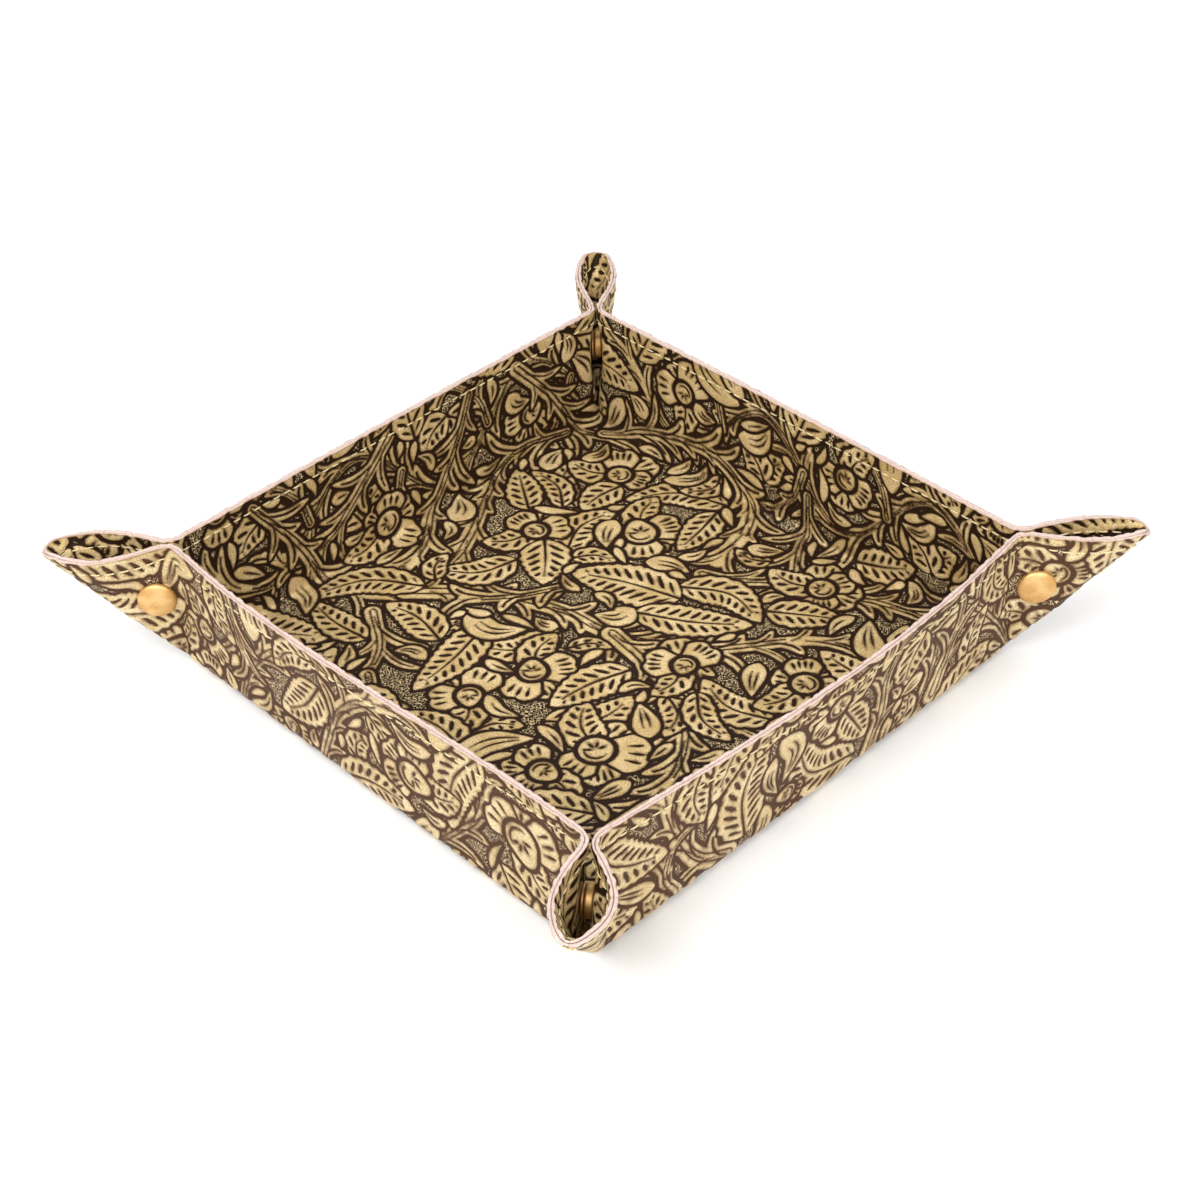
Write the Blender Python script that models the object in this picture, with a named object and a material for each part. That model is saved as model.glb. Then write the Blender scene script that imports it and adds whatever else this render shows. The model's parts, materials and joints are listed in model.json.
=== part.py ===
"""A square leather tray whose four corners are pinched into ears by press studs.

Two plies of leather, sewn back to back, start as one flat square with rounded corners. Four
straight creases turn its rim up into walls. What is left over at each corner is folded outwards
along the diagonal and held by a press stud, so that it stands out as a teardrop-shaped ear.
Undone, the walls fold down and the ears open until the tray lies almost flat.

The whole model follows from one idea: a function that says where each point of the flat square
lies once it is folded. Panels are cut from the flat square along the creases and sent through
that function, so that neighbours always meet. Lengths are in metres, with Z up.
"""

import math

import bmesh
import bpy
import numpy as np
from mathutils import Matrix, Vector

# The tray
TRAY_SIDE = 0.190
TRAY_HEIGHT = 0.048
CORNER_ROUND = 0.008

# The leather
PLY = 0.0011
PLY_GAP = 0.0003
PANEL_GAP = 0.0006
CREASE_INSET = 0.0032
CREASE_SOFTNESS = 0.0016
PINCH_SOFTNESS = 0.0038
PINCH_REACH = 0.014
PINCH_FREE_HEIGHT = 0.010
PINCH_GAP = 0.0004
APEX_HOLE = 0.0030
BEND_RELIEF = 0.0034
TIP_RELIEF = 0.0100
SPINE_MITRE = 0.0012

# How far the middle of each rim leans out, and how that grows towards the wall's right end, seen
# from outside
FRONT_BOW = 0.0025
RIGHT_BOW = 0.0062
BACK_BOW = 0.0008
LEFT_BOW = 0.0008
FRONT_BOW_SKEW_SHARE = -1.6
RIGHT_BOW_SKEW_SHARE = 0.3
BOW_POWER = 1.3

# The press studs, placed from the point where two creases meet
SNAP_INSET = 0.008
SNAP_HEIGHT = 0.027
SNAP_GAP = 0.0003
CAP_DIAMETER = 0.0125
CAP_EDGE = 0.0007
CAP_DOME = 0.0021
STEM_DIAMETER = 0.0034
HOLE_CLEARANCE = 0.0004
SOCKET_DIAMETER = 0.0100
SOCKET_HEIGHT = 0.0024
SOCKET_FLOOR = 0.0005
SOCKET_ROLL = 0.0005
STUD_DIAMETER = 0.0096
STUD_FLANGE = 0.0008
STUD_HEIGHT = 0.0016
STUD_HEAD_DIAMETER = 0.0042
STUD_NECK_DIAMETER = 0.0036
STUD_CLEARANCE = 0.0005
POST_DIAMETER = 0.0090
POST_EDGE = 0.0004
POST_DOME = 0.0006
POST_TIP_DIAMETER = 0.0020
SEAT_MARGIN = 0.0026
SEAT_FALL = 0.0075

# Counts
FLAT_STEP = 0.0005
KERNEL_REACH = 3.5
WALL_COLUMNS = 8
BEND_ROWS = 3
SPAN_ROWS = 3
WING_COLUMNS = 6
TIP_COLUMNS = 4
ROUND_STEPS = 16
DOME_STEPS = 4
CURVE_STEPS = 400

# The teardrop section of an ear, from the pinch (0) to the spine (1) of its half
SWELL_POWER = 2.0
CLOSE_POWER = 1.0
WING_END_SHARE = 0.66

LEATHER = 2 * PLY + PLY_GAP
HALF = TRAY_SIDE / 2 - LEATHER
RISE = TRAY_HEIGHT - LEATHER
SEAT = (SOCKET_HEIGHT + STUD_FLANGE + 3 * SNAP_GAP) / 2
SEAT_RADIUS = CAP_DIAMETER / 2 + SEAT_MARGIN
EIGHTH_TURN = math.pi / 4
SHARP_ANGLE = math.radians(40)

# Each wall: the direction that it faces, its bow and the bow's skew
WALLS = {
    "front": ((0, -1), FRONT_BOW, FRONT_BOW_SKEW_SHARE),
    "right": ((1, 0), RIGHT_BOW, RIGHT_BOW_SKEW_SHARE),
    "back": ((0, 1), BACK_BOW, 0),
    "left": ((-1, 0), LEFT_BOW, 0),
}

# Each corner: its signs in X and Y, how open its ear is as a share of the ear's length, how far
# the ear leans round in degrees, how much of its opening is moved to one side, and the wall that
# carries the cap of its press stud
CORNERS = {
    "front_right": ((1, -1), 0.18, -8.0, -0.2, "right"),
    "back_right": ((1, 1), 0.11, 3.0, 0.0, "right"),
    "back_left": ((-1, 1), 0.13, 0.0, 0.0, "back"),
    "front_left": ((-1, -1), 0.17, 4.0, 0.0, "front"),
}


def clear_scene():
    for obj in list(bpy.data.objects):
        bpy.data.objects.remove(obj, do_unlink=True)


def make_material(name, colour, roughness, metallic=0.0):
    material = bpy.data.materials.new(name)
    material.use_nodes = True
    shader = material.node_tree.nodes["Principled BSDF"]
    shader.inputs["Base Color"].default_value = (*colour, 1)
    shader.inputs["Roughness"].default_value = roughness
    shader.inputs["Metallic"].default_value = metallic
    return material


def ease(value):
    """0 below 0, 1 above 1, and a smooth S between."""
    value = np.clip(value, 0, 1)
    return value * value * (3 - 2 * value)


def swell(along):
    """The teardrop's half width, 1 at its widest."""
    widest = SWELL_POWER / (SWELL_POWER + CLOSE_POWER)
    peak = widest**SWELL_POWER * (1 - widest) ** CLOSE_POWER
    return along**SWELL_POWER * (1 - along) ** CLOSE_POWER / peak


def teardrop(opening, along):
    """The half teardrop's place at shares of its own length, in units of that length."""
    crowded = 1 - (1 - np.linspace(0, 1, CURVE_STEPS)) ** 2
    width = opening * swell(crowded)
    steps = np.hypot(np.diff(crowded), np.diff(width))
    length = np.concatenate([[0], np.cumsum(steps)])
    share = length / length[-1]
    forward = np.interp(along, share, crowded / length[-1])
    sideways = np.interp(along, share, width / length[-1])
    return forward, sideways


def corner_frame(corner):
    """The crease corner, the ear's outward direction and the normal towards its Y-facing side."""
    (sign_x, sign_y), _, lean, _, _ = CORNERS[corner]
    turn = Matrix.Rotation(math.radians(lean), 3, "Z")
    apex = np.array([sign_x * HALF, sign_y * HALF, LEATHER])
    outward = np.array(turn @ Vector((sign_x, sign_y, 0)).normalized())
    normal = np.array(turn @ Vector((-sign_x, sign_y, 0)).normalized())
    return apex, outward, normal


def ear_place(corner, over_x, over_y):
    """Where the leather of a corner lies: rays from the crease corner, swung along a teardrop."""
    _, opening, _, shift, _ = CORNERS[corner]
    apex, outward, normal = corner_frame(corner)
    across = np.minimum(over_x, over_y)
    up = np.maximum(over_x, over_y)
    side = np.where(over_y >= over_x, 1.0, -1.0)
    reach = np.hypot(across, up)
    along = np.arctan2(across, np.maximum(up, FLAT_STEP)) / EIGHTH_TURN
    forward, sideways = teardrop(opening, along)
    forward, sideways = forward * EIGHTH_TURN, sideways * EIGHTH_TURN
    sideways = sideways * (1 + side * shift)
    width = reach * np.sin(sideways) + PINCH_GAP / 2
    in_plane = reach * np.cos(sideways)
    place = apex + (in_plane * np.sin(forward))[..., None] * outward
    place[..., 2] += in_plane * np.cos(forward)
    return place + (side * width)[..., None] * normal


def bow_of(wall, along):
    """How far a rim leans out at a place along it, -1 to 1 from its left end seen from outside."""
    _, bow, skew = WALLS[wall]
    return bow * (1 - along**2) * (1 + skew * along)


def fold(x, y):
    """Where the inner face of the leather lies, with sharp creases, for points of the flat."""
    over_x = np.maximum(np.abs(x) - HALF, 0)
    over_y = np.maximum(np.abs(y) - HALF, 0)
    place = np.stack([np.clip(x, -HALF, HALF), np.clip(y, -HALF, HALF), LEATHER + over_x + over_y], -1)
    for wall, ((face_x, face_y), _, _) in WALLS.items():
        over = (over_x if face_x else over_y) * ((x * face_x + y * face_y) > 0)
        along = (x * -face_y + y * face_x) / HALF
        here = (over > 0) & (np.abs(along) <= 1)
        lean = bow_of(wall, np.clip(along, -1, 1)) * (over / RISE) ** BOW_POWER
        place[..., 0] += here * face_x * lean
        place[..., 1] += here * face_y * lean
    for corner, ((sign_x, sign_y), *_) in CORNERS.items():
        here = (x * sign_x > HALF) & (y * sign_y > HALF)
        place[here] = ear_place(corner, over_x[here], over_y[here])
    return place


def press(place, x, y):
    """Presses the ears flat on both sides of their middle plane where the press studs sit."""
    for corner, ((sign_x, sign_y), *_) in CORNERS.items():
        apex, _, normal = corner_frame(corner)
        over_x, over_y = x * sign_x - HALF, y * sign_y - HALF
        side = np.where(over_y >= over_x, 1.0, -1.0)
        across, up = np.minimum(over_x, over_y), np.maximum(over_x, over_y)
        distance = np.hypot(across - SNAP_INSET, up - SNAP_HEIGHT)
        share = 1 - ease((distance - SEAT_RADIUS) / SEAT_FALL)
        width = ((place - apex) @ normal) * side
        place = place + ((SEAT - width) * share * side)[..., None] * normal
    return place


def blur(values, softness):
    """A running average of a grid with a bell-shaped weight, which rounds its creases."""
    reach = int(math.ceil(KERNEL_REACH * softness / FLAT_STEP))
    weights = np.exp(-0.5 * (np.arange(-reach, reach + 1) * FLAT_STEP / softness) ** 2)
    weights = weights / weights.sum()
    for axis in (0, 1):
        pad = [(0, 0)] * values.ndim
        pad[axis] = (reach, reach)
        padded = np.pad(values, pad, mode="reflect", reflect_type="odd")
        count = values.shape[axis]
        slides = [np.take(padded, range(i, i + count), axis) for i in range(len(weights))]
        values = sum(weight * slide for weight, slide in zip(weights, slides))
    return values


class FoldedSheet:
    """The folded leather on a fine grid of the flat square: places and outward normals."""

    def __init__(self):
        self.count = int(math.ceil((HALF + RISE + PINCH_REACH) / FLAT_STEP))
        steps = np.arange(-self.count, self.count + 1) * FLAT_STEP
        x, y = np.meshgrid(steps, steps, indexing="ij")
        sharp = fold(x, y)
        over = np.maximum(np.abs(x), np.abs(y)) - HALF
        from_pinch = np.abs(np.minimum(np.abs(x), np.abs(y)) - HALF)
        soft = np.exp(-((from_pinch / PINCH_REACH) ** 2) * 2)
        soft = soft * ease((over - PINCH_FREE_HEIGHT) / PINCH_FREE_HEIGHT)
        tight, wide = blur(sharp, CREASE_SOFTNESS), blur(sharp, PINCH_SOFTNESS)
        self.place = press(tight + (wide - tight) * soft[..., None], x, y)
        along_x, along_y = np.gradient(self.place, FLAT_STEP, axis=(0, 1))
        outward = -np.cross(along_x, along_y)
        size = np.linalg.norm(outward, axis=-1, keepdims=True)
        self.outward = outward / np.maximum(size, np.finfo(float).tiny)

    def read(self, grid, x, y):
        """The grid's value at any flat point, straight between the four nearest ones."""
        column, row = x / FLAT_STEP + self.count, y / FLAT_STEP + self.count
        i = np.clip(np.floor(column).astype(int), 0, 2 * self.count - 1)
        j = np.clip(np.floor(row).astype(int), 0, 2 * self.count - 1)
        a, b = (column - i)[..., None], (row - j)[..., None]
        low = grid[i, j] * (1 - a) + grid[i + 1, j] * a
        high = grid[i, j + 1] * (1 - a) + grid[i + 1, j + 1] * a
        return low * (1 - b) + high * b

    def offset(self, x, y, depth):
        """Points at a depth into the leather, measured from its inner face."""
        outward = self.read(self.outward, x, y)
        outward = outward / np.linalg.norm(outward, axis=-1, keepdims=True)
        return self.read(self.place, x, y) + depth * outward


def slab_mesh(name, inner, outer):
    """A closed mesh between two grids of points, with walls round their border."""
    rows, columns = inner.shape[:2]
    index = np.arange(rows * columns).reshape(rows, columns)
    border = np.concatenate([index[0, :-1], index[:-1, -1], index[-1, :0:-1], index[:0:-1, 0]])
    bm = bmesh.new()
    skins = []
    for points in (inner, outer):
        verts = [bm.verts.new(point) for point in points.reshape(-1, 3)]
        skins.append(verts)
        for i in range(rows - 1):
            for j in range(columns - 1):
                corners = (index[i, j], index[i + 1, j], index[i + 1, j + 1], index[i, j + 1])
                bm.faces.new([verts[k] for k in corners])
    for start, end in zip(border, np.roll(border, -1)):
        bm.faces.new([skins[0][start], skins[0][end], skins[1][end], skins[1][start]])
    bmesh.ops.recalc_face_normals(bm, faces=bm.faces)
    mesh = bpy.data.meshes.new(name)
    bm.to_mesh(mesh)
    bm.free()
    return mesh


def add_object(name, mesh, material, parent):
    mesh.materials.append(material)
    mesh.shade_smooth()
    mesh.set_sharp_from_angle(angle=SHARP_ANGLE)
    obj = bpy.data.objects.new(name, mesh)
    bpy.context.scene.collection.objects.link(obj)
    if parent is not None:
        obj.parent = parent
        obj.matrix_parent_inverse = parent.matrix_world.inverted()
    return obj


def add_pivot(name, place, axis, parent):
    """An empty on a joint's axis, its Z along the axis."""
    pivot = bpy.data.objects.new(name, None)
    bpy.context.scene.collection.objects.link(pivot)
    turn = Vector((0, 0, 1)).rotation_difference(Vector(axis)).to_matrix().to_4x4()
    if parent is not None:
        pivot.parent = parent
        pivot.matrix_parent_inverse = parent.matrix_world.inverted()
    pivot.matrix_world = Matrix.Translation(Vector(place)) @ turn
    pivot.empty_display_size = CAP_DIAMETER
    bpy.context.view_layer.update()
    return pivot


def add_plies(name, sheet, points, materials, parent):
    """The two plies of one panel, cut from the flat square along a grid of points.

    The grid is a function of the depth below the inner face, so that an edge can be bevelled.
    """
    depths = {"inner": (0, PLY), "outer": (PLY + PLY_GAP, LEATHER)}
    plies = []
    for (ply, (near, far)), material in zip(depths.items(), materials):
        full_name = f"{name}_{ply}_ply"
        skins = [sheet.offset(*points(depth), depth) for depth in (near, far)]
        mesh = slab_mesh(full_name, *skins)
        plies.append(add_object(full_name, mesh, material, parent))
    return plies


def row_shares():
    """How far up the rows of a panel lie: some below the press studs, some across, some above."""
    studs = [(SNAP_HEIGHT + side * SEAT_RADIUS - APEX_HOLE) / (RISE - APEX_HOLE) for side in (-1, 1)]
    turns = np.array([0, *studs, 1])
    return np.interp(np.arange(3 * SPAN_ROWS + 1) / SPAN_ROWS, np.arange(4), turns)


def wall_points(wall, depth):
    """The flat points of a wall: cut back where it bends up from the base, straight above.

    Folded down flat, the bends of two walls would otherwise run into each other. The edge next
    to the base turns about the crease, so it follows a circle as it gets deeper.
    """
    (face_x, face_y), _, _ = WALLS[wall]
    back = math.sqrt((CREASE_INSET - PANEL_GAP / 2) ** 2 - depth**2)
    bend = np.linspace(-back, 0, BEND_ROWS)
    rise = APEX_HOLE + (RISE - APEX_HOLE) * row_shares()
    up = np.concatenate([bend, rise])
    crowded = np.sin(math.pi / 2 * np.linspace(-1, 1, WALL_COLUMNS + 1))
    end = HALF - PANEL_GAP / 2 - BEND_RELIEF * (up <= 0)
    along = end[:, None] * crowded
    out = np.broadcast_to((HALF + up)[:, None], along.shape)
    return out * face_x - along * face_y, out * face_y + along * face_x


def rim_reach(turn):
    """How far the rim lies from the crease corner, for a ray turned from straight up."""
    straight = RISE / np.cos(turn)
    centre = RISE - CORNER_ROUND
    toward = centre * (np.cos(turn) + np.sin(turn))
    rounded = toward + np.sqrt(np.maximum(toward**2 - 2 * centre**2 + CORNER_ROUND**2, 0))
    return np.where(RISE * np.tan(turn) > centre, rounded, straight)


def ear_points(corner, wall, shares, relief, mitres):
    """The flat points of a wedge of a corner, between rays at shares of half the corner.

    The mitres cut its two edges back, the first and the last, on top of half a panel gap.
    """
    (sign_x, sign_y), *_ = CORNERS[corner]
    turn = shares * EIGHTH_TURN
    reach = relief + (rim_reach(turn) - relief) * row_shares()[:, None]
    across, up = reach * np.sin(turn), reach * np.cos(turn)
    progress = (shares - shares[0]) / (shares[-1] - shares[0])
    first, last = (PANEL_GAP / 2 + mitre for mitre in mitres)
    squeeze = first * (1 - progress) - last * progress
    across, up = across + squeeze * np.cos(turn), up - squeeze * np.sin(turn)
    if WALLS[wall][0][0]:
        return sign_x * (HALF + up), sign_y * (HALF + across)
    return sign_x * (HALF + across), sign_y * (HALF + up)


def ray_direction(corner, wall, share):
    """The direction of a ray of the ear at the rim, from the crease corner."""
    turn = np.array([share * EIGHTH_TURN])
    reach = rim_reach(turn)
    across, up = reach * np.sin(turn), reach * np.cos(turn)
    over_x, over_y = (up, across) if WALLS[wall][0][0] else (across, up)
    apex, _, _ = corner_frame(corner)
    ray = ear_place(corner, over_x, over_y)[0] - apex
    return ray / np.linalg.norm(ray)


def tip_bend(corner, wall):
    """The angle between a wing and its tip, which bends out flat when the ear opens."""
    up = np.array([0, 0, 1])
    hinge, spine = (ray_direction(corner, wall, share) for share in (WING_END_SHARE, 1))
    wing_normal, tip_normal = np.cross(up, hinge), np.cross(hinge, spine)
    size = np.linalg.norm(wing_normal) * np.linalg.norm(tip_normal)
    return math.acos(float(wing_normal @ tip_normal / size))


def turned_mesh(name, profile):
    """A profile of (radius, height) points turned about Z, closed into a ring or on the axis."""
    bm = bmesh.new()
    verts = [bm.verts.new((radius, 0, height)) for radius, height in profile]
    pairs = zip(verts, verts[1:] + verts[:1])
    on_axis = profile[0][0] == 0 and profile[-1][0] == 0
    edges = [bm.edges.new(pair) for pair in pairs if not (on_axis and pair[0] is verts[-1])]
    bmesh.ops.spin(
        bm, geom=verts + edges, cent=(0, 0, 0), axis=(0, 0, 1), angle=math.tau, steps=ROUND_STEPS
    )
    bmesh.ops.remove_doubles(bm, verts=bm.verts, dist=SNAP_GAP / 100)
    bmesh.ops.recalc_face_normals(bm, faces=bm.faces)
    mesh = bpy.data.meshes.new(name)
    bm.to_mesh(mesh)
    bm.free()
    return mesh


def dome(radius, edge, rise):
    """The points of a dome's half section, from the axis out to its edge."""
    angles = np.linspace(0, math.pi / 2, DOME_STEPS + 1)
    return [(float(radius * math.sin(a)), float(edge + rise * math.cos(a))) for a in angles]


def cap_profile():
    under = SEAT + LEATHER + SNAP_GAP
    tip = SEAT - SNAP_GAP - SOCKET_FLOOR
    stem = STEM_DIAMETER / 2
    top = dome(CAP_DIAMETER / 2, under + CAP_EDGE, CAP_DOME)
    return [*top, (CAP_DIAMETER / 2, under), (stem, under), (stem, tip), (0, tip)]


def socket_profile():
    top = SEAT - SNAP_GAP
    bottom = top - SOCKET_HEIGHT
    hole = STEM_DIAMETER / 2 + HOLE_CLEARANCE
    cavity = STUD_HEAD_DIAMETER / 2 + STUD_CLEARANCE
    outside = SOCKET_DIAMETER / 2
    return [
        (hole, top),
        (outside, top),
        (outside, bottom + SOCKET_ROLL),
        (outside - SOCKET_ROLL, bottom),
        (cavity, bottom),
        (cavity, top - SOCKET_FLOOR),
        (hole, top - SOCKET_FLOOR),
    ]


def stud_profile():
    bottom = SNAP_GAP - SEAT
    flange = bottom + STUD_FLANGE
    tip = flange + STUD_HEIGHT
    bore = POST_TIP_DIAMETER / 2 + HOLE_CLEARANCE
    head = STUD_HEAD_DIAMETER / 2
    return [
        (bore, tip),
        ((bore + head) / 2, tip),
        (head, flange + 2 / 3 * STUD_HEIGHT),
        (STUD_NECK_DIAMETER / 2, flange),
        (STUD_DIAMETER / 2, flange),
        (STUD_DIAMETER / 2, bottom),
        (bore, bottom),
    ]


def post_profile():
    top = -SEAT - LEATHER - SNAP_GAP
    stem = STEM_DIAMETER / 2
    tip = POST_TIP_DIAMETER / 2
    shoulder = -SEAT
    end = SNAP_GAP - SEAT + STUD_FLANGE + STUD_HEIGHT / 2
    bottom = [(r, 2 * top - z) for r, z in dome(POST_DIAMETER / 2, top + POST_EDGE, POST_DOME)]
    rise = [(0, end), (tip, end), (tip, shoulder), (stem, shoulder), (stem, top)]
    return [*rise, (POST_DIAMETER / 2, top), *reversed(bottom)]


def snap_matrix(corner):
    """The press stud's frame: on the ear's middle plane, its Z towards the cap."""
    _, opening, _, _, cap_wall = CORNERS[corner]
    apex, outward, normal = corner_frame(corner)
    along = np.array([math.atan2(SNAP_INSET, SNAP_HEIGHT) / EIGHTH_TURN])
    forward = float(teardrop(opening, along)[0][0]) * EIGHTH_TURN
    reach = math.hypot(SNAP_INSET, SNAP_HEIGHT)
    up = np.array([0, 0, 1])
    centre = apex + reach * (math.sin(forward) * outward + math.cos(forward) * up)
    axis = normal if WALLS[cap_wall][0][0] == 0 else -normal
    turn = Vector((0, 0, 1)).rotation_difference(Vector(axis)).to_matrix().to_4x4()
    return Matrix.Translation(Vector(centre)) @ turn


def add_snap(corner, brass, cap_body, stud_body):
    """The four turned pieces of a press stud, on the two wings that it joins."""
    place = snap_matrix(corner)
    pieces = {
        "cap": (cap_profile(), cap_body),
        "socket": (socket_profile(), cap_body),
        "stud": (stud_profile(), stud_body),
        "post": (post_profile(), stud_body),
    }
    for piece, (profile, body) in pieces.items():
        name = f"{corner}_snap_{piece}"
        mesh = turned_mesh(name, profile)
        add_object(name, mesh, brass, body).matrix_world = place


def punch(plies, corner):
    """The hole for the press stud's stem, through both plies of a wing."""
    reach = SEAT + LEATHER + CAP_DIAMETER
    bm = bmesh.new()
    bmesh.ops.create_cone(
        bm,
        cap_ends=True,
        segments=ROUND_STEPS,
        radius1=STEM_DIAMETER / 2 + HOLE_CLEARANCE,
        radius2=STEM_DIAMETER / 2 + HOLE_CLEARANCE,
        depth=2 * reach,
    )
    mesh = bpy.data.meshes.new("punch")
    bm.to_mesh(mesh)
    bm.free()
    cutter = bpy.data.objects.new("punch", mesh)
    cutter.matrix_world = snap_matrix(corner)
    cutter.hide_render = True
    cutter.display_type = "WIRE"
    bpy.context.scene.collection.objects.link(cutter)
    for ply in plies:
        hole = ply.modifiers.new("stem hole", "BOOLEAN")
        hole.object = cutter
        hole.operation = "DIFFERENCE"


def add_base(sheet, leather):
    edge = HALF - CREASE_INSET - PANEL_GAP / 2
    corners = np.meshgrid([-edge, edge], [-edge, edge], indexing="ij")
    add_plies("base", sheet, lambda depth: corners, leather, None)


def add_wall(wall, sheet, leather):
    """A wall's plies on their pivot, the crease that joins it to the base."""
    (face_x, face_y), _, _ = WALLS[wall]
    place = (face_x * HALF, face_y * HALF, LEATHER)
    pivot = add_pivot(f"{wall}_wall_pivot", place, (-face_y, face_x, 0), None)
    add_plies(f"{wall}_wall", sheet, lambda depth: wall_points(wall, depth), leather, pivot)
    return pivot


def add_ear_half(corner, wall, sheet, leather, wall_pivot):
    """A wing and a tip: the half of an ear that one wall carries. It returns the wing's pivot."""
    (sign_x, sign_y), *_ = CORNERS[corner]
    apex, _, _ = corner_frame(corner)
    swing = sign_x * sign_y if WALLS[wall][0][0] else -sign_x * sign_y
    name = f"{corner}_{wall}"
    pivot = add_pivot(f"{name}_wing_pivot", apex, (0, 0, swing), wall_pivot)
    wing_shares = np.linspace(0, WING_END_SHARE, WING_COLUMNS + 1)
    closing = math.tan(tip_bend(corner, wall) / 2)

    def wing_points(depth):
        return ear_points(corner, wall, wing_shares, APEX_HOLE, (0, closing * depth))

    wing = add_plies(f"{name}_wing", sheet, wing_points, leather, pivot)
    punch(wing, corner)
    hinge_ray = ray_direction(corner, wall, WING_END_SHARE)
    tip_pivot = add_pivot(f"{name}_tip_pivot", apex, -swing * hinge_ray, pivot)
    crowded = 1 - (1 - np.linspace(0, 1, TIP_COLUMNS + 1)) ** 2
    tip_shares = WING_END_SHARE + (1 - WING_END_SHARE) * crowded

    def tip_points(depth):
        mitres = (closing * depth, SPINE_MITRE * depth / LEATHER)
        return ear_points(corner, wall, tip_shares, TIP_RELIEF, mitres)

    add_plies(f"{name}_tip", sheet, tip_points, leather, tip_pivot)
    return pivot


def build():
    clear_scene()
    inner = make_material("tooled leather inside", (0.46, 0.36, 0.17), 0.45)
    outer = make_material("tooled leather outside", (0.50, 0.41, 0.24), 0.5)
    brass = make_material("satin brass", (0.78, 0.52, 0.22), 0.35, 1.0)
    leather = (inner, outer)
    sheet = FoldedSheet()
    add_base(sheet, leather)
    pivots = {wall: add_wall(wall, sheet, leather) for wall in WALLS}
    for corner, (signs, *_, cap_wall) in CORNERS.items():
        facings = ((signs[0], 0), (0, signs[1]))
        walls = [wall for wall, (facing, *_) in WALLS.items() if facing in facings]
        wings = {wall: add_ear_half(corner, wall, sheet, leather, pivots[wall]) for wall in walls}
        stud_wall = next(wall for wall in walls if wall != cap_wall)
        add_snap(corner, brass, wings[cap_wall], wings[stud_wall])


build()
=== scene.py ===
# %% [markdown]
# # A square leather tray with floral tooling
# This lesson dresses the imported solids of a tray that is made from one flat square: two plies of
# tooled leather, sewn back to back, whose rim is turned up into walls and whose corners are
# pinched into ears by brass press studs. Every cell first says what the real thing is, how it
# could be made, and why one way was chosen.

import json
import math

import bmesh
import bpy
import numpy as np
from mathutils import Matrix, Vector

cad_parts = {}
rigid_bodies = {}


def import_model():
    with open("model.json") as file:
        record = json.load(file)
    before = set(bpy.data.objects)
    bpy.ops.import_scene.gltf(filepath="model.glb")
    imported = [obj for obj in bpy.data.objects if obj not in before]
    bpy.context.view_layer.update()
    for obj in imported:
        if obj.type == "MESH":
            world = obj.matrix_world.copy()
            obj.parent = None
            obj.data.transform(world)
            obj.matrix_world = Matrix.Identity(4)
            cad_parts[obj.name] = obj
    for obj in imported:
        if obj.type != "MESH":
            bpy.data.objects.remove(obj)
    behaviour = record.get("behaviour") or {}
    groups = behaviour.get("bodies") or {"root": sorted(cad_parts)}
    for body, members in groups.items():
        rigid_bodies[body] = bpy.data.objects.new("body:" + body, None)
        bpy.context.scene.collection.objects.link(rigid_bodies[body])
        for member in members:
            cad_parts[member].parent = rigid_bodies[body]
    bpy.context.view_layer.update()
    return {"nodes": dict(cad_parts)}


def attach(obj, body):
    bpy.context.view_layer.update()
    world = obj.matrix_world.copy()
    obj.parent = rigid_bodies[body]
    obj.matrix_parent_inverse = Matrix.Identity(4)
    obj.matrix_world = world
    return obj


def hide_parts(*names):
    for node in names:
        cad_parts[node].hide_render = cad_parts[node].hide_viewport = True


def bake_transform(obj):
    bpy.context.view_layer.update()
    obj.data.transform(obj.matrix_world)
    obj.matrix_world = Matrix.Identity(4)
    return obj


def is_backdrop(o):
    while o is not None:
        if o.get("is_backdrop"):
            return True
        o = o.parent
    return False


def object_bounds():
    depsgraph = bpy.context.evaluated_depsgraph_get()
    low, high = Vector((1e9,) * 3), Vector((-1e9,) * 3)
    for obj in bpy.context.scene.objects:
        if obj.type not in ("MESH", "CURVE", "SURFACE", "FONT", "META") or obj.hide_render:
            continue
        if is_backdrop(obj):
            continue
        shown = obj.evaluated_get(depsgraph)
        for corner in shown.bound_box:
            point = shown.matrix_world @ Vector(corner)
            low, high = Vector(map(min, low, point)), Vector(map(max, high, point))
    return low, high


MM = 1000.0

for starter in list(bpy.data.objects):
    bpy.data.objects.remove(starter)
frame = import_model()

# %% [markdown]
# ## The sheet's sizes
# The solids were cut from a folded square, so the looks start from the same square. These are
# its sizes in metres. HALF is half the crease square, measured at the leather's inner face, and
# RISE is how far the rim reaches beyond it. A wall is given by the way it faces, how far its rim
# bows outwards and how lopsided that bow is. A corner is given by its signs, how wide its ear
# opens, how many degrees the ear leans round, how unevenly its halves share the width, and the
# wall on whose side its stud's cap sits.

# %% The tray's sizes
LEATHER = 0.0025
HALF = 0.0925
RISE = 0.0455
SHEET_HALF = HALF + RISE
CORNER_ROUND = 0.008
EIGHTH_TURN = math.pi / 4

WALLS = {
    "front": ((0, -1), 0.0025, -1.6),
    "right": ((1, 0), 0.0062, 0.3),
    "back": ((0, 1), 0.0008, 0.0),
    "left": ((-1, 0), 0.0008, 0.0),
}

CORNERS = {
    "front_right": ((1, -1), 0.18, -8.0, -0.2, "right"),
    "back_right": ((1, 1), 0.11, 3.0, 0.0, "right"),
    "back_left": ((-1, 1), 0.13, 0.0, 0.0, "back"),
    "front_left": ((-1, -1), 0.17, 4.0, 0.0, "front"),
}
print("flat sheet:", round(2 * SHEET_HALF * MM), "mm square")

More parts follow.
